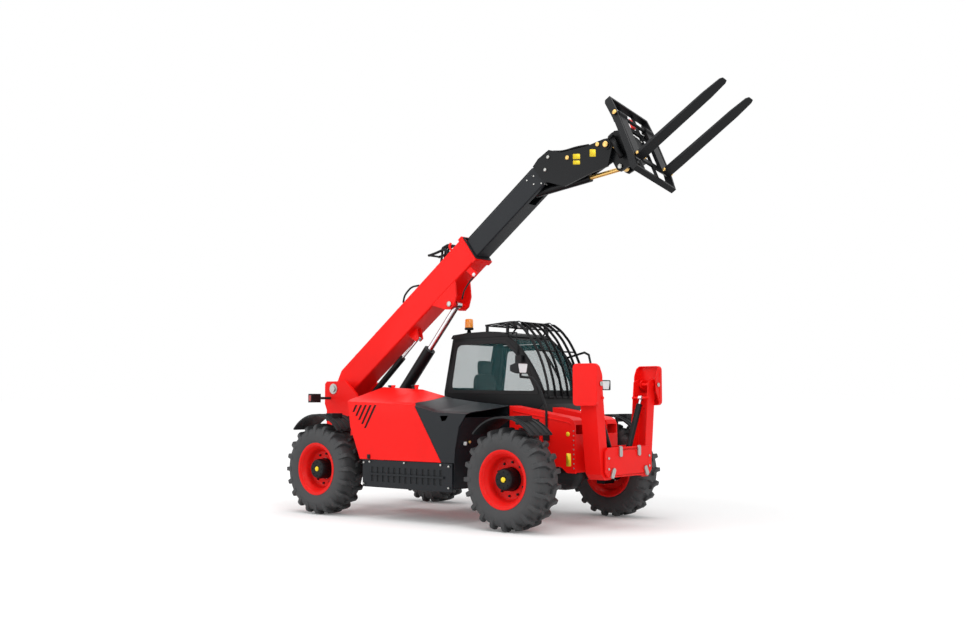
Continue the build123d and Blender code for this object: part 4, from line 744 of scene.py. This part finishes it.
def domedHead(centre, axis, radius, height):
    # a pin's head with a chamfered rim and a shallow dome
    return roundCap(centre, axis, [(0, radius), (height * 0.55, radius), (height * 0.8, radius * 0.9),
                                   (height * 0.95, radius * 0.55), (height, radius * 0.12)], 24)


# cab: window seals with round corners, pillars' tubes, screen bars, wiper and roof ribs
cab = {"wallRight": 0.200, "wallLeft": 1.150, "sealWidth": 0.030, "sealRound": 0.085, "doorRound": 0.05,
       "sealProud": 0.006, "barDepth": 0.034, "barWidth": 0.012, "bars": 7, "pillarRadius": 0.019}
windows = {
    "sealRight": ([(-.515, 1.585), (.965, 1.560), (.925, 1.660), (.790, 1.900), (.640, 2.085), (.455, 2.240),
                   (-.395, 2.235)], cab["wallRight"] - cab["sealProud"], -1, "chassis"),
    "sealDoorTop": ([(-.375, 1.480), (.700, 1.480), (.835, 1.560), (.835, 1.690), (.740, 1.870),
                     (.600, 2.045), (.430, 2.185), (-.285, 2.180)],
                    cab["wallLeft"] + cab["sealProud"], 1, "cab_door"),
    "sealDoorLow": ([(-.300, 1.000), (.600, 1.000), (.600, 1.390), (-.330, 1.390)],
                    cab["wallLeft"] + cab["sealProud"], 1, "cab_door"),
}
for name, (outline, y, side, body) in windows.items():
    outline = np.array(outline) + [midX, 0]
    outer = rounded(inset(outline, -0.014), 0.02)
    inner = rounded(inset(outline, cab["sealWidth"]), cab["sealRound"] if side < 0 else cab["doorRound"])
    depth = cab["sealProud"] + 0.012
    shape = ringPlate(outer, inner, (0, y + (depth if side < 0 else 0), 0), *flank, depth)
    dress(name, [shape], sealRubber, body, 0.002)

screenArc = np.array([(.480, 2.300), (.660, 2.155), (.812, 1.980), (.945, 1.775), (1.050, 1.555)]) + [midX, 0]
pillars = [tube([(x, y, z) for x, z in screenArc], cab["pillarRadius"], 12) for y in (0.222, 1.128)]
dress("screenPillars", pillars, blackPaint)
guardBend = [(.068, 2.458), (.330, 2.478), (.560, 2.492), (.700, 2.399), (.825, 2.264), (.925, 2.104),
             (1.008, 1.925), (1.070, 1.720), (1.110, 1.500)]
guardLine = roundedProfile(np.array(guardBend) + [midX, 0], 5, 0.3)
alongGuard = np.gradient(guardLine, axis=0)
alongGuard = alongGuard / np.linalg.norm(alongGuard, axis=1)[:, None]
offGuard = np.stack([alongGuard[:, 1], -alongGuard[:, 0]], -1) * cab["barDepth"] / 2
offGuard *= np.where(guardLine[:, :1] - midX < 0.56, 0.5, 1.0)
# flat bars: four corners carried along the bend
bars = [capped(np.stack([np.insert(guardLine + over * offGuard, 1, y + way * cab["barWidth"] / 2, 1)
                         for over, way in ((1, -1), (1, 1), (-1, 1), (-1, -1))], 1))
        for y in np.linspace(0.256, 1.094, cab["bars"])]
crossBars = ((.080, 2.453), (.320, 2.471), (.548, 2.487), (.692, 2.395), (.916, 2.106), (1.106, 1.512))
bars += [tube([at(x, 0.250, z), at(x, 1.100, z)], 0.011) for x, z in crossBars]
bars += [boxed((1.062, 1.108), (y - 0.015, y + 0.015), (1.495, 1.515)) for y in (0.37, 0.98)]
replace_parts(dress("screenBars", bars, blackPaint, "chassis", 0.0015), "screen_guard")
roofRibs = [boxed((-0.40, 0.05), (y - 0.03, y + 0.03), (2.352, 2.380)) for y in (0.42, 0.68, 0.94)]
dress("roofRibs", roofRibs, blackPlastic, "chassis", 0.006)
wiperPath = np.insert(screenArc[1:], 1, 0.62, 1) + [0.022, 0, 0.016]
dress("wiper", [tube(wiperPath, 0.006, 8), tube(wiperPath[:3] + [[0.004, 0.02, 0.004]], 0.009, 8),
                roundCap(wiperPath[-1], (1, 0, 0.4), [(-0.02, 0.02), (0.012, 0.02), (0.018, 0.012)], 16)],
      blackPaint)
print("cab dressed")

# lamps: lenses, beacon and mirrors
for name, place in (("near", at(1.225, -0.460, 1.858)), ("far", at(1.380, 1.120, 1.668))):
    lens = rounded([(-0.096, 0.056), (-0.070, -0.056), (0.070, -0.056), (0.096, 0.056)], 0.02)
    dress(f"{name}Lens", [prism(lens, place, *front, 0.010)], clearLens, "chassis", 0.003)
    bezel = ringPlate(rounded([(-0.106, 0.066), (-0.106, -0.066), (0.106, -0.066), (0.106, 0.066)], 0.018),
                      rounded([(-0.094, 0.054), (-0.069, -0.054), (0.069, -0.054), (0.094, 0.054)], 0.018),
                      place - 0.004 * ahead, *front, 0.018)
    dress(f"{name}Bezel", [bezel], blackPlastic, "chassis", 0.002)
workLamps = [at(0.588, 0.300, 2.445), at(0.570, 1.000, 2.456)]
dress("workLenses", [domedHead(place, ahead, 0.043, 0.016) for place in workLamps], clearLens)
dress("workLampRims", [roundCap(place - 0.03 * ahead, ahead, [(0, 0.054), (0.036, 0.056), (0.042, 0.053),
                                                              (0.042, 0.045), (0.030, 0.043)], 28)
                       for place in workLamps], blackPlastic)
# the beacon's turned pieces: height of the foot, sides, profile of (up, radius)
beacon = {
    "beaconLens": (2.440, 40, amberLens, [(0, 0.0555), (0.010, 0.0575), (0.080, 0.0560), (0.1095, 0.0545),
                                          (0.116, 0.051), (0.121, 0.038), (0.123, 0.008)]),
    "beaconBase": (2.412, 40, blackPlastic, [(0, 0.050), (0.004, 0.060), (0.024, 0.060), (0.030, 0.057)]),
    "beaconSeat": (2.345, 32, blackPaint, [(0, 0.075), (0.020, 0.070), (0.030, 0.030), (0.070, 0.022)]),
}
for name, (z, count, material, profile) in beacon.items():
    dress(name, [roundCap(at(-0.249, 0.300, z), up, profile, count)], material)
tail = {"x": midX - 2.286, "low": 1.45, "high": 1.55}
tailLamps = (("tailLens", (0.665, 0.722), redLens), ("turnLens", (0.612, 0.658), amberLens),
             ("reverseLens", (0.568, 0.605), clearLens))
for side, hand in hands:
    for name, (y0, y1), material in tailLamps:
        lens = rounded(oblong((side * y0, side * y1), (tail["low"], tail["high"])), 0.008)
        dress(f"{name}_{hand}", [prism(lens, (tail["x"], 0, 0), *front, -0.010)], material, "chassis", 0.002)
    sideLens = rounded(oblong((-0.022, 0.022), (tail["low"] + 0.01, tail["high"] - 0.01)), 0.008)
    dress(f"markerLens_{hand}", [prism(sideLens, at(-2.25, side * 0.729, 0), *flank, -side * 0.007)], redLens,
          "chassis", 0.002)
mirrorFace = rounded(oblong((1.112, 1.262), (1.680, 1.940)), 0.02)
dress("mirrorGlass", [prism(mirrorFace, at(1.0895, 0, 0), *front, -0.003)], chrome)
print("lamps dressed")

# engine side: bolts, band between two rows of slots, latch, and black sheets behind the slots and louvres as
# painted shade
panelFace = machine["panelFace"]
panelBolts = [(-.690, .700), (-.590, .712), (-.690, .440), (.715, .700), (.590, .712), (.715, .450),
              (0, .715)]
dress("panelBolts", [hexHeads([at(x, panelFace, z) for x, z in panelBolts], right, 0.013, 0.009)], zinc,
      smooth=False)
dress("panelBand", [boxed((-0.61, 0.635), (panelFace - 0.003, panelFace + 0.012), (0.552, 0.576))],
      charcoalPaint, "chassis", 0.002)
# painted shade: a black sheet behind the slots where the engine bay lies in shade
dress("slotShade", [boxed((-0.62, 0.645), (panelFace + 0.024, panelFace + 0.028), (0.455, 0.665))],
      blackPlastic, smooth=False)
dress("bonnetLatch", [boxed((-0.640, -0.595), (-1.214, -1.199), (0.745, 0.800)),
                      boxed((-0.632, -0.603), (-1.222, -1.210), (0.752, 0.778))],
      blackPlastic, "bonnet", 0.003)
# painted shade: a black sheet behind the bonnet's louvres where there is only shade
dress("ventShade", [boxed((-0.938, -0.47), (-1.189, -1.186), (1.10, 1.43))], blackPlastic, "bonnet",
      smooth=False)
dress("linerSocket", [domedHead(at(0.812, -1.042, 0.965), ahead, 0.024, 0.03)], whiteFitting)
dress("linerPlug", [domedHead(at(0.812, -0.966, 0.981), ahead, 0.018, 0.03)], brass)
print("engine side dressed")

# nose: blank stickers, edge bolts, a pressed ridge
noseFace = -0.4505
dress("roundSticker", [roundCap(at(1.881, noseFace, 1.082), right, [(0, 0.026), (0.0012, 0.026)])],
      yellowSticker)
tall = rounded(oblong((1.856, 1.922), (0.712, 0.860)), 0.008)
dress("tallSticker", [prism(tall, at(0, noseFace, 0), *flank, 0.0012)], yellowSticker)
dress("noseRidge", [tube([at(1.08, y, 1.345), at(1.88, y, 1.222), at(1.93, y, 1.195)], 0.007, 8)
                    for y in (-0.452, 0.452)], redPaint)
for name, side in (("noseBolts", -1), ("noseBoltsLeft", 1)):
    places = [at(1.962, side * 0.450, z) for z in np.linspace(0.69, 1.12, 9)]
    dress(name, [hexHeads(places, (0, side, 0), 0.009, 0.006)], zinc, smooth=False)

# boom: pin heads, hose guides, gasket, clips and bolts
boomY, outerHalf = machine["boomPivot"][1], machine["outerHalf"]
outerRight = boomY - outerHalf
dress("liftPinHeads", [domedHead(onBoom(2.272, -0.341, boomY + side * (outerHalf + 0.013)), (0, side, 0),
                                 0.036, 0.012) for side in (-1, 1)], zinc, "boom")
bracket = [(2.735, -0.165), (2.815, -0.165), (2.850, -0.290), (2.815, -0.325), (2.765, -0.300)]
dress("hoseBracket", [prism(bracket, onBoom(0, 0, outerRight + 0.045), boomAlong, boomAcross, 0.022)],
      redPaint, "boom", 0.003)
dress("hosePin", [domedHead(onBoom(2.805, -0.292, outerRight + 0.022), right, 0.024, 0.018)], whiteFitting,
      "boom")
underPath = ((2.80, -0.285, 0.05), (2.66, -0.31, 0.04), (2.54, -0.345, 0.03), (2.44, -0.40, 0.05))
dress("underHose", [tube([onBoom(u, v, outerRight + out) for u, v, out in underPath], 0.010)], sealRubber,
      "boom")
guide = [tube(boomPath(y, (2.62, 0.222), (2.62, 0.33), (2.45, 0.40), (2.34, 0.455)), 0.018)
         for y in (-0.14, 0.06)]
guide.append(tube([onBoom(2.35, 0.45, -0.16), onBoom(2.35, 0.45, 0.08)], 0.014))
dress("hoseGuide", guide, blackPaint, "boom")
dress("liftHook", [tube(boomPath(-0.17, (2.70, 0.222), (2.70, 0.285), (2.75, 0.31)), 0.016)], redPaint,
      "boom")
pipes = [tube(boomPath(y, (0.28, 0.19), (0.30, 0.238), (2.40, 0.238), (2.50, 0.33), (2.56, 0.40),
                       (2.66, 0.37), (2.76, 0.24)), 0.016, 10, 0.2) for y in (-0.10, -0.04, 0.02)]
pipes.append(tube(boomPath(-0.165, (1.62, 0.235), (1.70, 0.30), (1.86, 0.31), (1.98, 0.235)), 0.013, 10, 0.4))
dress("boomHoses", pipes, sealRubber, "boom")
clamps = [prism(oblong((u - 0.02, u + 0.02), (0.219, 0.262)), onBoom(0, 0, 0.05), boomAlong, boomAcross, 0.18)
          for u in (0.45, 0.95, 1.45, 1.95, 2.35)]
dress("hoseClamps", clamps, zinc, "boom", 0.003)
gasket = ringPlate(rounded(oblong((-0.158, 0.158), (-0.156, 0.214)), 0.02),
                   rounded(oblong((-0.1315, 0.1315), (-0.1255, 0.1995)), 0.012),
                   onBoom(2.958, 0, boomY), (0, 1, 0), boomAcross, 0.014)
dress("collarGasket", [gasket], sealRubber, "boom", 0.002)
clipPoints, clipFaces = boxed((0, 0.035), (0, 0.012), (0, 0.028), 0)
clipPoints = clipPoints @ [boomAlong, [0, 1, 0], boomAcross]
clips = [(onBoom(3.10 + 0.055 * index, 0.150, boomY - 0.088) + clipPoints, clipFaces) for index in range(22)]
dress("trayClips", clips, blackPlastic, "boom_inner", 0.002)
ends = ((4.268, 0.06), (4.209, -0.022), (4.300, -0.095), (4.16, 0.09))
dress("innerBolts", [hexHeads(boomPath(boomY + side * machine["innerHalf"], *ends), (0, side, 0), 0.011,
                              0.007) for side in (-1, 1)], zinc, "boom_inner", smooth=False)
print("boom dressed")

# head: pins, bushes, blank stickers, flange bolts and hoses
headHalf = machine["headHalf"]
for name, spots, material, radius in (
        ("headPins", ((4.582, 0.075), (4.455, -0.02)), zinc, 0.022),
        ("headBushes", ((4.783, -0.135), (5.192, -0.318)), brass, 0.027)):
    dress(name, [domedHead(onBoom(*spot, boomY + side * headHalf), (0, side, 0), radius, 0.020)
                 for spot in spots for side in (-1, 1)], material, "boom_inner")
dress("carriagePinCaps", [domedHead(onBoom(*machine["carriagePin"], boomY + side * 0.180), (0, side, 0),
                                    0.036, 0.016) for side in (-1, 1)], brass, "boom_inner")
stickers = [[(4.869, -0.156), (4.942, -0.229), (4.905, -0.280), (4.830, -0.207)],
            [(4.822, -0.222), (4.893, -0.292), (4.864, -0.330), (4.791, -0.258)],
            [(5.077, -0.285), (5.135, -0.345), (5.083, -0.415), (5.022, -0.355)]]
dress("headStickers", [prism(rounded(outline, 0.006), onBoom(0, 0, boomY + side * headHalf), boomAlong,
                             boomAcross, -side * 0.0015) for side in (-1, 1) for outline in stickers],
      yellowSticker, "boom_inner")
flange = [onBoom(machine["innerEnd"] - 0.001, -0.137, boomY + y) for y in (-0.13, -0.09, 0.09, 0.13)]
dress("flangeBolts", [hexHeads(flange, -boomAlong, 0.010, 0.010)], zinc, "boom_inner", smooth=False)
dress("headHoses", [tube(boomPath(y, (4.30, 0.160), (4.42, 0.195), (4.60, 0.185), (4.74, 0.045),
                                  (4.92, -0.060), (5.06, -0.165)), 0.012) for y in (-0.09, -0.05, 0.0)],
      sealRubber, "boom_inner")
print("head dressed")


def directions(angle, roll=0.0):
    # unit vectors along the blades, up the carriage and to its left, for a pitch and a roll
    c, s, cr, sr = math.cos(angle), math.sin(angle), math.cos(roll), math.sin(roll)
    return np.array([c, 0, s]), np.array([-s * cr, sr, c * cr]), np.array([s * sr, cr, -c * sr])


carriage = {"lugAngle": 29.3, "bladeAngle": 32.3, "roll": 19.3, "drop": 0.199, "tiltEye": (0, -0.313)}
pinAt = onBoom(*machine["carriagePin"], boomY)
bladeAngle = math.radians(carriage["bladeAngle"])
lugAhead, lugUp, lugLeft = directions(math.radians(carriage["lugAngle"]))
bladeAhead, bladeUp, bladeLeft = directions(bladeAngle, math.radians(carriage["roll"]))
swivelAt = pinAt - directions(bladeAngle)[1] * carriage["drop"]


def onFrame(along, above, y):
    # a point of the fork frame, from its swivel
    return swivelAt + bladeAhead * along + bladeUp * above + bladeLeft * y


def onCarriage(along, above, y):
    # a point of the carriage, from its pin
    return pinAt + lugAhead * along + lugUp * above + lugLeft * y


shaftCaps = [domedHead(onFrame(0.326, 0.300, side * 0.357), bladeLeft * side, 0.030, 0.018)
             for side in (-1, 1)]
heelCaps = [domedHead(onFrame(0.372, -0.428, centre + side * 0.0655), bladeLeft * side, 0.020, 0.010)
            for centre in (-0.239, 0.239) for side in (-1, 1)]
discBolts = [domedHead(onFrame(0.275, 0.125 * math.sin(t), 0.125 * math.cos(t)), bladeAhead, 0.013, 0.012)
             for t in np.arange(8) * math.pi / 4]
dress("frameBrass", shaftCaps + heelCaps, brass, "fork_frame")
dress("discBolts", discBolts, zinc, "fork_frame")
dress("frameStop", [prism(oblong((0.266, 0.292), (0.30, 0.46)), onFrame(0, 0, 0.06), bladeAhead, bladeUp,
                          0.05)], redPaint, "fork_frame", 0.004)
dress("tiltEyeCaps", [domedHead(onCarriage(*carriage["tiltEye"], side * 0.109), lugLeft * side, 0.030, 0.014)
                      for side in (-1, 1)], zinc, "carriage")
sideRams = []
for side in (-1, 1):
    low, high = onCarriage(0.095, -0.25, side * 0.150), onCarriage(0.095, 0.02, side * 0.150)
    sideRams += [tube([low, high], 0.034, 20),
                 roundCap(high, lugUp, [(0, 0.040), (0.03, 0.040), (0.04, 0.030)], 20)]
dress("lockRams", sideRams, blackPaint, "carriage")
dress("couplings", [domedHead(onCarriage(0.05, above, side * 0.116), lugLeft * side, 0.014, 0.022)
                    for above in (0.0, -0.07) for side in (-1, 1)], brass, "carriage")
hosePath = ((0.16, 0.085, 1), (0.10, 0.125, 1), (0.03, 0.105, 1.5), (0.06, 0.04, 2.4))
dress("carriageHoses", [tube([onCarriage(u, v, y * spread) for u, v, spread in hosePath], 0.011)
                        for y in (-0.055, 0.055)], sealRubber, "carriage")
print("carriage dressed")

# stabilisers: pads bent from plate, pin heads, keepers and bolts
pad = {"plate": 0.012, "lip": 0.052, "round": 0.055, "up": (1.412, 1.888), "along": (-0.152, 0.168),
       "pin": (0.625, 1.660)}
stab = {"x": midX + 2.290, "half": 0.105, "legPivot": (0.360, 0.650), "jackBase": (0.200, 0.890)}
tray = oblong(pad["up"], pad["along"])
outer, inner = rounded(tray, pad["round"], 7), rounded(inset(tray, pad["plate"]), pad["round"], 7)
gusset = rounded([(0.712, 1.440), (0.712, 1.870), (0.645, 1.870), (0.582, 1.760), (0.582, 1.600),
                  (0.660, 1.440)], 0.03)
lug = rounded([(0.592, 1.625), (0.592, 1.695), (0.640, 1.720), (0.712, 1.720), (0.712, 1.600),
               (0.640, 1.605)], 0.02)
plates = ((gusset, -0.1465, 0.012), (gusset, 0.1505, 0.012), (lug, -0.072, 0.020), (lug, 0.052, 0.020))
for side, hand in hands:
    y, z = pad["pin"]
    dress(f"padPinHeads_{hand}", [domedHead((stab["x"] + along, side * y, z), (way, 0, 0), 0.026, 0.012)
                                  for along, way in ((0.170, 1), (-0.155, -1))], zinc, f"stab_pad_{hand}")
    # tray with bent lips round its sole, gussets at both ends and two lugs on the leg's pin
    shapes = [prism(outer, (stab["x"], side * 0.719, 0), up, ahead, -side * pad["plate"]),
              ringPlate(outer, inner, (stab["x"], side * 0.712, 0), up, ahead, -side * pad["lip"])]
    shapes += [prism(outline * [side, 1], (stab["x"] + along, 0, 0), -right, up, thick)
               for outline, along, thick in plates]
    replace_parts(dress(f"padShell_{hand}", shapes, redPaint, f"stab_pad_{hand}", 0.004), f"stab_pad_{hand}")
beamFace = stab["x"] + stab["half"] + 0.035
keepers = []
for side in (-1, 1):
    for (y, z), tilt in ((stab["legPivot"], 0.5), (stab["jackBase"], 0.0)):
        turn = np.array([[math.cos(tilt), math.sin(tilt)], [-math.sin(tilt), math.cos(tilt)]])
        plate = rounded(oblong((-0.030, 0.030), (-0.062, 0.062)) @ turn, 0.028)
        keepers.append(prism(plate * [side, 1] + [side * y, z], (beamFace + 0.001, 0, 0), *front, 0.020))
dress("pinKeepers", keepers, zinc, "chassis", 0.003)
beamBolts = [(beamFace, y, z) for y in (-0.44, 0.44) for z in (0.70, 0.82)]
dress("beamBolts", [hexHeads(beamBolts, ahead, 0.016, 0.011)], zinc, smooth=False)
print("stabilisers dressed")

# mudguard ridges: a low trapezoid carried along the arch
guard = {"radius": 0.5495, "rise": 0.735, "halfAngle": 48, "height": 0.012, "steps": 40}
turn = np.radians(np.linspace(-guard["halfAngle"], guard["halfAngle"], guard["steps"]))[:, None]
radius = guard["radius"] + np.array([-0.004, guard["height"], guard["height"], -0.004])
for corner, (x, y) in wheelPlaces.items():
    side, shapes = 1 if y > 0 else -1, []
    for place in (0.962, 1.071, 1.180):
        out = place + np.array([-0.024, -0.015, 0.015, 0.024])
        shapes.append(capped(np.stack([x + radius * np.sin(turn), side * out + 0 * turn,
                                       guard["rise"] + radius * np.cos(turn)], -1)))
    dress(f"guardRidges_{corner}", shapes, blackPlastic, f"knuckle_{corner}", 0.002)
print("mudguards dressed")

# rear and left side: tow pin, tank cap, step treads, reflectors
rearX = -2.3205
pinShank = [(0, 0.012), (0.004, 0.015), (0.155, 0.015), (0.160, 0.015)]
dress("towPin", [roundCap(at(-2.395, 0, 0.715), up, pinShank, 20),
                 roundCap(at(-2.395, 0, 0.862), up, [(0, 0.026), (0.010, 0.026), (0.014, 0.020)], 24)], zinc)
capProfile = [(0, 0.055), (0.030, 0.055), (0.038, 0.048), (0.038, 0.020), (0.044, 0.018), (0.046, 0.004)]
dress("tankCap", [roundCap(at(0.60, 1.118, 0.62), -right, capProfile, 40)], blackPlastic)
dress("stepTreads", [boxed((-0.095 + 0.04 * index, -0.075 + 0.04 * index), (0.99, 1.225), (z, z + 0.005))
                     for index in range(13) for z in (0.4895, 0.6595)], zinc, smooth=False)
dress("reflectors", [roundCap(at(rearX, side * 0.24, 0.80), -ahead,
                              [(0, 0.032), (0.006, 0.032), (0.009, 0.028)], 28) for side in (-1, 1)], redLens)
blank = rounded(oblong((-0.20, 0.14), (1.05, 1.16)), 0.01)
dress("blankPlate", [prism(blank, at(rearX, 0, 0), *front, -0.003)], whiteFitting)
tailBolts = [at(rearX, y, z) for y in (-0.30, 0.22) for z in (1.00, 1.20)]
dress("tailBolts", [hexHeads(tailBolts, -ahead, 0.014, 0.009)], zinc, smooth=False)
print("rear and left side dressed")

# engine: ribbed cover, filter and hose over the plain block
low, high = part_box("engine")
ribs = [boxed((0.06 + 0.055 * index, 0.085 + 0.055 * index), (low[1] + 0.09, high[1] - 0.09),
              (high[2] - 0.01, high[2] + 0.035), low[0]) for index in range(12)]
dress("engineRibs", ribs, greyPlastic, "chassis", 0.004)
dress("oilFilter", [roundCap((low[0] + 0.10, low[1] + 0.005, high[2] - 0.12), right,
                             [(0, 0.045), (0.075, 0.045), (0.083, 0.040), (0.085, 0.012)])], yellowSticker)
intakePath = ((0.25, 0.05, 0.02), (0.25, -0.02, 0.02), (0.55, -0.03, -0.05), (0.75, 0.02, -0.2))
dress("intakeHose", [tube([(low[0] + x, low[1] + y, high[2] + z) for x, y, z in intakePath], 0.030, 14)],
      sealRubber)
print("engine dressed")


def cushion(name, low, high, crown, channels, thin):
    # rounded box |x/a|^n + |y/b|^n + |z/c|^n = 1 with a crown, and sewn channels cut across it
    low, high = np.asarray(low, float), np.asarray(high, float)
    middle, reach = (low + high) / 2, (high - low) / 2
    form = {"rows": 60, "columns": 120, "power": 0.34, "channelDepth": 0.16, "channelWidth": 0.035,
            "fill": 0.985}
    u = np.linspace(-math.pi / 2, math.pi / 2, form["rows"])[:, None]
    v = np.linspace(0, 2 * math.pi, form["columns"], endpoint=False)[None, :]

    def soft(value):
        return np.sign(value) * np.abs(value) ** form["power"]
    unit = np.stack([soft(np.cos(u)) * soft(np.cos(v)), soft(np.cos(u)) * soft(np.sin(v)),
                     soft(np.sin(u)) + 0 * v], -1)
    wide, long = [axis for axis in range(3) if axis != thin]
    unit[..., thin] *= 1 - crown * (unit[..., wide] ** 2 + unit[..., long] ** 2) / 2
    for place in channels:
        channel = np.exp(-((unit[..., long] - place) / form["channelWidth"]) ** 2)
        unit[..., thin] *= 1 - form["channelDepth"] * channel
    piece = addPiece(name, middle + unit * reach * form["fill"],
                     gridFaces(form["rows"], form["columns"], 0, False, True), seatCloth, "chassis")
    return piece


(backLow, backHigh), (padLow, padHigh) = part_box("seat_back"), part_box("seat_cushion")
headLow = backHigh[2] - 0.18
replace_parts(cushion("seatPad", padLow, padHigh, 0.35, (-0.45, 0.45), 2), "seat_cushion")
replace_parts(cushion("seatBackPad", backLow, (backHigh[0], backHigh[1], headLow), 0.35, (-0.35, 0.0, 0.35), 0),
            "seat_back")
seatMiddle = (backLow[1] + backHigh[1]) / 2
cushion("headrest", (backLow[0] + 0.005, seatMiddle - 0.13, headLow - 0.015),
        (backHigh[0] - 0.005, seatMiddle + 0.13, backHigh[2]), 0.3, (), 0)
print("seat made")
